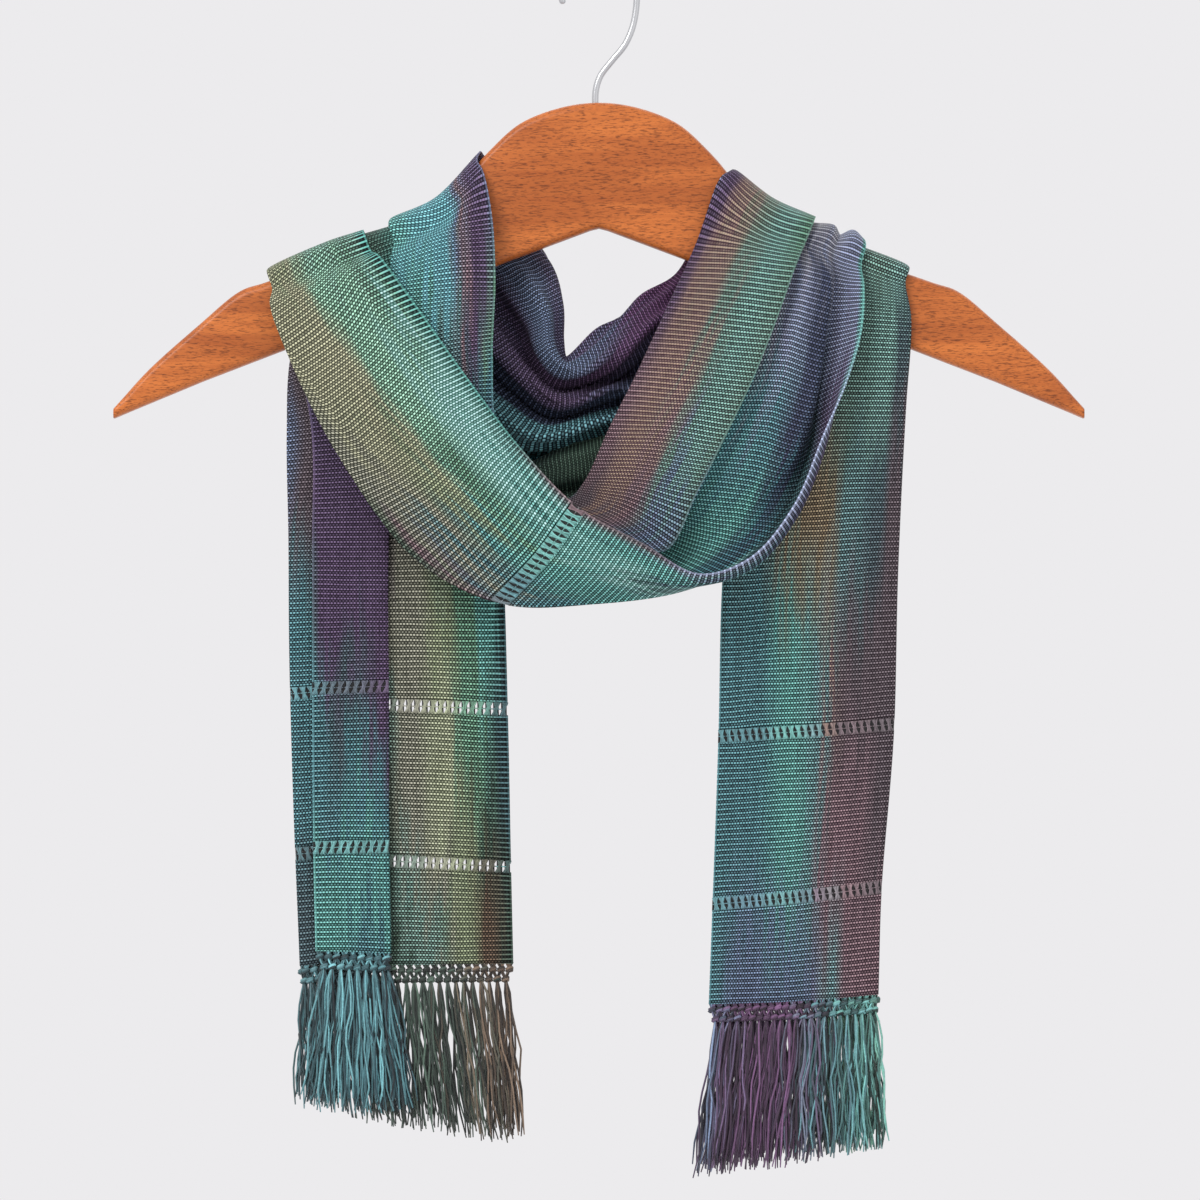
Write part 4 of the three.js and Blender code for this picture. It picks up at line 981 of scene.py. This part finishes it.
class SCARF_OT_hook(bpy.types.Operator):
    """Bends the hanger's wire hook"""

    bl_idname = "scarf.hook"
    bl_label = "Hanger hook"

    def execute(self, context):
        hanger = context.scene.hanger_settings
        radius = hanger.wire / 2 / MM
        centre = np.array([0, 0, -CROOK + radius])
        crook = [
            centre + CROOK * np.array([math.cos(math.radians(a)), 0, math.sin(math.radians(a))])
            for a in (5, 25, 45, 65, 85, 105, 125, 145, 165, 185, 200)
        ]
        route = np.array([(x, 0, z) for x, z in HOOK_ROUTE] + crook)
        path = catmull_rom(route, np.linspace(0, len(route) - 1, 221)) * MM
        radii = np.full(len(path), hanger.wire / 2)
        radii[-3:] = hanger.wire / 2 * np.array([0.95, 0.8, 0.45])  # the wire's rounded end
        points, faces = tubes([path], [radii], sides=20)
        steel = shared("zinc_plated_wire", drawn_wire)
        piece = mesh_object("wire_hook", points, faces, "hanger_hook", steel)
        return {"FINISHED"}


def openwork_windows(name):
    """The lengths along the cloth at which each openwork row starts and ends."""
    half = bpy.context.scene.scarf_sizes.openwork / 2
    return [(along_of(place) - half, along_of(place) + half) for place in OPENWORK_ROWS.get(name, [])]


def stretch_lengths(name):
    first, last = {n: (a, b) for n, a, b in ranges()}[name]
    return along_of(first), along_of(last)


def relief(name, share_along, share_across, length, width):
    """Creases, gathers and slow unevenness of a stretch of cloth, in metres along its normal."""
    along, across = share_along * length, share_across * width
    # Slow waves about 10 and 27 cm long, which fade out at the selvages.
    wave = np.sin(along * 61 + 1.3 * np.sin(share_across * 5)) * 0.5
    wave = wave + np.sin(along * 23 + share_across * 9 + 1.7) * 0.5
    edge = np.clip(np.minimum(share_across, 1 - share_across) * 8, 0, 1)
    height = UNEVENNESS * wave * edge
    for crease in CREASES.get(name, []):
        start = np.array(crease["from"]) * (length, width)
        run = np.array(crease["to"]) * (length, width) - start
        ahead, beside = along - start[0], across - start[1]
        reach = np.linalg.norm(run)
        place = (ahead * run[0] + beside * run[1]) / (run @ run)
        aside = ahead * run[1] / reach - beside * run[0] / reach
        taper = np.sin(np.clip(place, 0, 1) * math.pi) ** 0.7
        height = height + crease["height"] * taper * np.exp(-((aside / (crease["width"] * MM)) ** 2))
    if name in GATHERS:
        # Gathers start a twelfth of the way in, full height at a quarter, and they meander a little.
        ends = np.clip(np.minimum(share_along, 1 - share_along) * 6 - 0.5, 0, 1)
        turns = GATHERS[name]["count"] * share_across + 0.25 * np.sin(share_along * 7 + share_across * 11)
        height = height + GATHERS[name]["height"] * ends * np.sin(turns * 2 * math.pi)
    return height * MM


def surface(name, along):
    """The stretch's middle surface at lengths along it: its points, normals and shares of the width."""
    start, end = stretch_lengths(name)
    width = bpy.context.scene.scarf_sizes.width
    along = np.asarray(along, float)
    step = 1 * MM
    moved = (np.clip(along + move, ALONG[0], ALONG[-1]) for move in (-step, 0, step))
    before, grid, after = (lines_at(place_of(length)) for length in moved)
    normals = unit(np.cross(np.gradient(grid, axis=1), after - before))
    run = lengths(np.swapaxes(grid, 0, 1)).T
    share = run / run[:, -1:]
    share_along = ((along - start) / (end - start))[:, None]
    grid = grid + normals * relief(name, share_along, share, end - start, width)[..., None]
    return grid, normals, share


def edge_ribs(name, shares_along, shares_across):
    """How far the floats close up into plain ribs, from 0 to 1, on a grid of the cloth."""
    sizes = bpy.context.scene.scarf_sizes
    stations, at_b, at_a = zip(*EDGE_RIBS[name])
    band = sizes.selvage / sizes.width
    strength = np.where(
        shares_across < 0.5,
        np.interp(shares_along, stations, at_b)[:, None],
        np.interp(shares_along, stations, at_a)[:, None],
    )
    inward = np.minimum(shares_across, 1 - shares_across) / band
    return strength * np.clip(1.5 - inward, 0, 1)


COLOUR_LAYERS = ("ground_early", "float_early", "ground_late", "float_late", "edge_ribs")
DYE_CREEP = 0.03  # how early or late a yarn's dye comes, as a share of the stretch's length


class SCARF_OT_cloth(bpy.types.Operator):
    """Weaves the scarf's five stretches of cloth"""

    bl_idname = "scarf.cloth"
    bl_label = "Scarf cloth"

    def execute(self, context):
        sizes = context.scene.scarf_sizes
        material = shared("space_dyed_rep_weave", woven_cloth)
        for seed, (name, _, _) in enumerate(STRETCHES):
            start, end = stretch_lengths(name)
            windows = openwork_windows(name)
            edges = [start] + [edge for window in windows for edge in window] + [end]
            points, faces, weave = [], [], []
            colours = {key: [] for key in COLOUR_LAYERS}
            offset = 0
            for low, high in zip(edges[::2], edges[1::2]):
                steps = max(round((high - low) / sizes.cell), 2)
                along = np.linspace(low, high, steps + 1)
                grid, normals, share = surface(name, along)
                along_share = (along - start) / (end - start)
                for order, shift in (("early", -DYE_CREEP), ("late", DYE_CREEP)):
                    shares_along = np.clip(along_share + shift, 0, 1)
                    colour = dyed(name, shares_along, share, seed * 7 + (shift > 0))
                    for layer, part in (("ground", colour[..., :3]), ("float", colour[..., 3:])):
                        colours[f"{layer}_{order}"] += [part.reshape(-1, 3)] * 2
                ribs = edge_ribs(name, along_share, share)
                colours["edge_ribs"] += [np.repeat(ribs.reshape(-1, 1), 3, axis=1)] * 2
                rows, count = share.shape
                lead = np.array([rib_lead(name, *places) for places in zip(along_share, share)])
                for side in (0.5, -0.5):
                    points.append((grid + normals * side * sizes.wall).reshape(-1, 3))
                    uv = np.stack([share * sizes.width, along[:, None] + lead], axis=-1)
                    weave.append(uv.reshape(-1, 2))
                faces.append(wall_faces(rows, count) + offset)
                offset += rows * count * 2
            points, faces, weave = (np.concatenate(parts) for parts in (points, faces, weave))
            colours = {key: np.concatenate(parts) for key, parts in colours.items()}
            piece = mesh_object(f"scarf_{name}", points, faces, name, material, colours, weave)
        return {"FINISHED"}


def on_cloth(name, along, shares):
    """Points of a stretch at lengths along it and shares across it: (len(along), len(shares), 3)."""
    grid, _, share = surface(name, along)
    wanted = np.broadcast_to(shares, (len(grid), np.shape(shares)[-1]))
    rows = [
        [np.interp(at, known, line[:, axis]) for axis in range(3)]
        for at, known, line in zip(wanted, share, grid)
    ]
    return np.swapaxes(np.array(rows), 1, 2)


# ---- threads: openwork bundles and fringe ---------------------------------------------------------
class Threads:
    """The threads of one piece: their paths, radii and colours."""

    def __init__(self):
        self.paths = []
        self.radii = []
        self.colours = []

    def add(self, paths, radius, colours):
        self.paths.append(paths)
        self.radii.append(np.broadcast_to(radius, paths.shape[:2]))
        self.colours.append(colours)

    def make_piece(self, name, node):
        path = np.concatenate(self.paths)
        points, faces = tubes(path, np.concatenate(self.radii), THREAD_SIDES)
        dye = np.repeat(np.concatenate(self.colours), path.shape[1] * THREAD_SIDES, axis=0)
        material = shared("plied_rayon_thread", twisted_thread)
        return mesh_object(name, points, faces, node, material, {"thread_dye": dye})


def mixed(pair, share):
    """A dye's ground and float colours, with this share of the float's."""
    return pair[:, :3] * (1 - share) + pair[:, 3:] * share


THREAD_SIDES = 4

# The bundles of an openwork row lie on both faces of the cloth, and between them a flat dark layer stands
# for the shade in the holes.  Sizes are in millimetres; waist is a bundle's narrowest width, as a share.
OPENWORK_LAYERS = (
    {"waist": 1.0, "back": 0, "radius": 0.36},
    {"waist": 0.3, "back": -0.42, "radius": 0.34},
    {"waist": 0.3, "back": 0.42, "radius": 0.34},
)
# How far a bundle is drawn in and how far it leans, from one edge of the row to the other.
WAIST = np.array([0.2, 0.55, 0.9, 1, 0.9, 0.55, 0.2])
LEAN = 0.18 * np.array([-1, -0.8, -0.4, 0, 0.4, 0.8, 1])
BUNDLE_THREADS = np.linspace(-0.42, 0.42, 5)  # places of a bundle's threads, in bundles
INTO_CLOTH = 0.4  # how far the threads reach into the cloth on either side of the row
UNEVEN = 0.12
SHADE_IN_HOLES = 0.35  # how dark the layer between the faces is, as a share of the ground's colour
TIE_RADIUS = 0.26  # of the thread that goes through the waists
TIE_BOW = 0.45  # how far it bows out over each bundle
# Up to this share of the width more cloth lies behind the openwork, and no light comes through; past it
# the dark layer is only as wide as the bundles.
BACKED_TO = {"tail_left": 0.45, "loop": 1, "tail_right": 1}
UNBACKED_WIDTH = 0.62


class SCARF_OT_openwork(bpy.types.Operator):
    """Ties the openwork rows: bundles of bare warp with one thread through their waists"""

    bl_idname = "scarf.openwork"
    bl_label = "Openwork rows"

    def execute(self, context):
        sizes = context.scene.scarf_sizes
        random = np.random.default_rng(41)
        count = round(sizes.width / sizes.bundle)
        centre = (np.arange(count) + 0.5) / count
        for name in OPENWORK_ROWS:
            start, end = stretch_lengths(name)
            threads = Threads()
            for low, high in openwork_windows(name):
                along = np.linspace(low - INTO_CLOTH * MM, high + INTO_CLOTH * MM, len(WAIST))
                middle = (low + high) / 2
                share_along = (middle - start) / (end - start)
                colour = dye_lookup(name, np.full(count, share_along), centre)
                for layer in OPENWORK_LAYERS:
                    closed = layer["waist"] == 1
                    pinch = 1 - (1 - layer["waist"]) * WAIST
                    for place in BUNDLE_THREADS:
                        spread = place * pinch[:, None]
                        if closed:
                            backed = centre < BACKED_TO[name]
                            spread = spread * np.where(backed, 1, UNBACKED_WIDTH)[None, :]
                        shares = centre[None, :] + (spread + LEAN[:, None] * (not closed)) / count
                        line = np.swapaxes(on_cloth(name, along, np.clip(shares, 0, 1)), 0, 1)
                        line[..., 1] += layer["back"] * MM + random.normal(0, UNEVEN * MM, line.shape[:2])
                        pick = random.random((count, 1)) * 0.45 + 0.3
                        dye = colour[:, :3] * SHADE_IN_HOLES if closed else mixed(colour, pick)
                        threads.add(line, layer["radius"] * MM, dye)
                # The thread through the waists is laid in short pieces, which share their end points.
                share = np.linspace(0, 1, count * 4 + 1)
                tie = on_cloth(name, [middle], share)[0]
                tie[:, 1] -= TIE_BOW * MM * np.abs(np.sin(share * count * math.pi))
                steps = len(WAIST) - 1
                starts = range(0, len(tie) - steps, steps)
                middles = np.resize(share[steps // 2 : -steps : steps], len(starts))
                dye = mixed(dye_lookup(name, np.full(len(starts), share_along), middles), 0.6)
                threads.add(np.array([tie[i : i + steps + 1] for i in starts]), TIE_RADIUS * MM, dye)
            piece = threads.make_piece(f"openwork_{name}", name)
        return {"FINISHED"}


# Sizes of the fringe, in millimetres.
KNOT_DROP = 2.6  # from the hem to the first row of knots
SECOND_DROP = 2.7  # how many times as far the second row is
KNOT_WIDTH, KNOT_DEPTH = 1.35, 0.8  # radii of a knot's coil
KNOT_SLANT = 0.45  # how far the coil rises to one side
COIL_RADIUS, ROOT_RADIUS, LINK_RADIUS = 0.78, 0.38, 0.4  # of a knot's thread, above it and below it
TIP_ASIDE, TIP_BACK = 4.5, 1.2  # how far the tips lie off sideways, and front to back
TIP_DOWN, TIP_UP = 5, 4
WAVE = 1.3  # how far a thread waves sideways
FRINGE_STEPS = 9  # points along a thread


def tips_at(tips, shares):
    known, x, z = zip(*tips)
    return [np.interp(shares, known, places) * MM for places in (x, z)]


def fringe_colour(name, shares, random):
    """A colour for each thread, from the dyes near its place on the hem."""
    known, dyes = stops(FRINGE_DYES[name])
    jitter = np.clip(shares + random.normal(0, 0.035, len(shares)), 0, 1)
    colours = np.array([bath(dye) for dye in dyes])
    at = np.stack([np.interp(jitter, known, colours[:, c]) for c in range(6)], axis=-1)
    return mixed(at, random.beta(0.9, 2.0, (len(shares), 1)))


def laid(lines):
    """Smooth paths through lines of a few points each."""
    position = np.linspace(0, lines.shape[1] - 1, FRINGE_STEPS)
    return np.swapaxes(catmull_rom(np.swapaxes(lines, 0, 1), position), 0, 1)


def knot_coils(knots, turn):
    """One turn of thread round each knot."""
    angle = np.linspace(0, 2 * math.pi, FRINGE_STEPS)[None, :] + turn * 1.1
    height = (np.linspace(-0.5, 0.5, FRINGE_STEPS) * 0.8 + (turn - 0.5) * 0.7)[None, :] * MM
    across = knots[:, 0:1] + KNOT_WIDTH * MM * np.cos(angle)
    deep = knots[:, 1:2] + KNOT_DEPTH * MM * np.sin(angle)
    high = knots[:, 2:3] + height + KNOT_SLANT * MM * np.cos(angle + 0.6)
    return np.stack([across, deep, high], axis=-1)


def hanging_threads(knots, tip_x, tip_z, random):
    """One thread below each knot, waving a little on its way down to its tip."""
    n = len(knots)
    spread = random.normal(0, 1, (n, 2))
    x = tip_x + random.uniform(-TIP_ASIDE, TIP_ASIDE, n) * MM
    y = knots[:, 1] + random.normal(0, TIP_BACK, n) * MM
    z = tip_z + random.uniform(-TIP_DOWN, TIP_UP, n) * MM
    tip = np.stack([x, y, z], axis=-1)
    lines = [knots + np.array([0, 0, LINK_RADIUS * MM])]
    phase = random.uniform(0, 2 * math.pi, n)
    for share in (0.12, 0.3, 0.46, 0.62, 0.8):
        place = knots + (tip - knots) * share
        wave = WAVE * np.sin(phase + share * 9) + random.normal(0, 0.5, n)
        place[:, 0] += (spread[:, 0] * 0.8 + wave * min(share * 3, 1)) * MM
        place[:, 1] += (spread[:, 1] * 0.5 + random.normal(0, 0.3, n)) * MM
        lines.append(place)
    return laid(np.stack([*lines, tip], axis=1))


class SCARF_OT_fringe(bpy.types.Operator):
    """Knots the warp ends below each hem and lets the threads hang"""

    bl_idname = "scarf.fringe"
    bl_label = "Knotted fringe"

    def execute(self, context):
        sizes = context.scene.scarf_sizes
        count = round(sizes.width / sizes.knot)
        shares = (np.arange(count) + 0.5) / count
        between = (shares[1:] + shares[:-1]) / 2
        taper = np.array([1, 1, 1, 1, 1, 1, 1, 0.95, 0.6])
        hems = (
            ("fringe_left", "tail_left", ALONG[0], 1, FRINGE_LEFT_TIPS, 5),
            ("fringe_right", "tail_right", ALONG[-1], -1, FRINGE_RIGHT_TIPS, 9),
        )
        for name, stretch, hem_at, inside, tips, seed in hems:
            random = np.random.default_rng(seed)
            threads = Threads()
            hem, above = on_cloth(stretch, [hem_at, hem_at + inside * 3 * MM], shares)
            down = hem - above
            down /= np.linalg.norm(down, axis=-1, keepdims=True)
            drop = KNOT_DROP * MM
            first = hem + down * drop
            second = (hem[1:] + hem[:-1]) / 2 + (down[1:] + down[:-1]) / 2 * drop * SECOND_DROP
            for side in np.linspace(-0.45, 0.45, 4):
                places = np.clip(shares + side / count, 0, 1)
                root = on_cloth(stretch, [hem_at + inside * 0.8 * MM], places)[0]
                lines = np.stack([root, first * 0.55 + root * 0.45, first], axis=1)
                threads.add(laid(lines), ROOT_RADIUS * MM, fringe_colour(name, shares, random))
            for start in (first[:-1], first[1:]):
                for spread in (-0.5, 0.5):
                    offset = np.array([spread * 0.8 * MM, spread * 0.5 * MM, 0])
                    lines = np.stack([start, (start + second) / 2 + offset, second], axis=1)
                    threads.add(laid(lines), LINK_RADIUS * MM, fringe_colour(name, between, random))
            for knots, places in ((first, shares), (second, between)):
                for turn in range(2):
                    dye = fringe_colour(name, places, random)
                    threads.add(knot_coils(knots, turn), COIL_RADIUS * MM, dye)
            tip_x, tip_z = tips_at(tips, between)
            for _ in range(sizes.threads):
                lines = hanging_threads(second, tip_x, tip_z, random)
                threads.add(lines, sizes.thread / 2 * taper, fringe_colour(name, between, random))
            piece = threads.make_piece(f"knotted_{name}", name)
        return {"FINISHED"}


# ---- a pass over the stretches, and the stage -----------------------------------------------------
class SCARF_OT_declare(bpy.types.Operator):
    """Runs through the stretches of cloth and changes nothing"""

    bl_idname = "scarf.declare"
    bl_label = "Cloth sizes"

    def execute(self, context):
        for name, first, last in ranges():
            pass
        return {"FINISHED"}


CAMERA_DISTANCE = 3.5
FRAME_SIZE = 0.5484  # height and width of what the camera sees, in the plane of the hanger
FRAME_CENTRE = (0.0005, -0.2943)
SENSOR = 36
FLOOR_HALF, FLOOR_HEIGHT = 4.0, -1.7
LIGHTS = (
    {"name": "key_light", "at": (-1.2, -1.6, 1.2), "size": 1.1, "watts": 30},
    {"name": "fill_light", "at": (1.5, -1.6, -0.1), "size": 1.8, "watts": 3},
    {"name": "back_light", "at": (0.4, 1.6, 1.0), "size": 1.6, "watts": 8},
)


class SCARF_OT_stage(bpy.types.Operator):
    """Sets the pale floor, the soft light and the camera"""

    bl_idname = "scarf.stage"
    bl_label = "Stage"

    def execute(self, context):
        hanger = context.scene.hanger_settings
        camera = bpy.data.objects.new("camera", bpy.data.cameras.new("camera"))
        camera.location = (FRAME_CENTRE[0], -CAMERA_DISTANCE, FRAME_CENTRE[1])
        camera.rotation_euler = (math.pi / 2, 0, 0)
        camera.data.sensor_width = SENSOR
        camera.data.lens = SENSOR * CAMERA_DISTANCE / FRAME_SIZE
        camera.data.clip_end = 50
        context.scene.collection.objects.link(camera)
        context.scene.camera = camera

        mesh = bpy.data.meshes.new("floor")
        turns = ((-1, -1), (1, -1), (1, 1), (-1, 1))
        corners = [(x * FLOOR_HALF, y * FLOOR_HALF, FLOOR_HEIGHT) for x, y in turns]
        mesh.from_pydata(corners, [], [(0, 1, 2, 3)])
        floor = bpy.data.objects.new("floor", mesh)
        context.scene.collection.objects.link(floor)
        values = {"Base Color": (*hanger.floor, 1), "Roughness": 0.9}
        mesh.materials.append(new_material("pale_floor", values)[0])

        world = bpy.data.worlds.new("studio")
        world.use_nodes = True
        background = world.node_tree.nodes["Background"]
        background.inputs["Color"].default_value = (*linear("#e6e5e7"), 1)
        background.inputs["Strength"].default_value = 1.06
        context.scene.world = world
        context.scene.view_settings.view_transform = "Standard"
        for lamp_settings in LIGHTS:
            light = bpy.data.lights.new(lamp_settings["name"], "AREA")
            light.size = lamp_settings["size"]
            light.energy = lamp_settings["watts"]
            lamp = bpy.data.objects.new(lamp_settings["name"], light)
            lamp.location = lamp_settings["at"]
            aim = Vector((0, 0, -0.25)) - Vector(lamp_settings["at"])
            lamp.rotation_euler = aim.to_track_quat("-Z", "Y").to_euler()
            context.scene.collection.objects.link(lamp)
        return {"FINISHED"}


class SCARF_PT_panel(bpy.types.Panel):
    """Lists the scarf's settings and pieces"""

    bl_idname = "SCARF_PT_panel"
    bl_label = "Wrap scarf"
    bl_space_type = "VIEW_3D"
    bl_region_type = "UI"
    bl_category = "Scarf"

    def draw(self, context):
        for group in (context.scene.scarf_sizes, context.scene.hanger_settings):
            for key in group.__annotations__:
                self.layout.prop(group, key)
        for operator in OPERATORS:
            self.layout.operator(operator.bl_idname)


OPERATORS = (
    SCARF_OT_stage,
    SCARF_OT_board,
    SCARF_OT_hook,
    SCARF_OT_cloth,
    SCARF_OT_openwork,
    SCARF_OT_fringe,
    SCARF_OT_declare,
)
CLASSES = (ScarfSizes, HangerSettings, *OPERATORS, SCARF_PT_panel)


def register():
    for cls in CLASSES:
        bpy.utils.register_class(cls)
    bpy.types.Scene.scarf_sizes = PointerProperty(type=ScarfSizes)
    bpy.types.Scene.hanger_settings = PointerProperty(type=HangerSettings)


def unregister():
    del bpy.types.Scene.hanger_settings
    del bpy.types.Scene.scarf_sizes
    for cls in reversed(CLASSES):
        bpy.utils.unregister_class(cls)


def main():
    register()
    bpy.ops.scarf.stage()
    bpy.ops.scarf.board()
    bpy.ops.scarf.hook()
    bpy.ops.scarf.cloth()
    bpy.ops.scarf.openwork()
    bpy.ops.scarf.fringe()
    bpy.ops.scarf.declare()


if __name__ == "__main__":
    main()
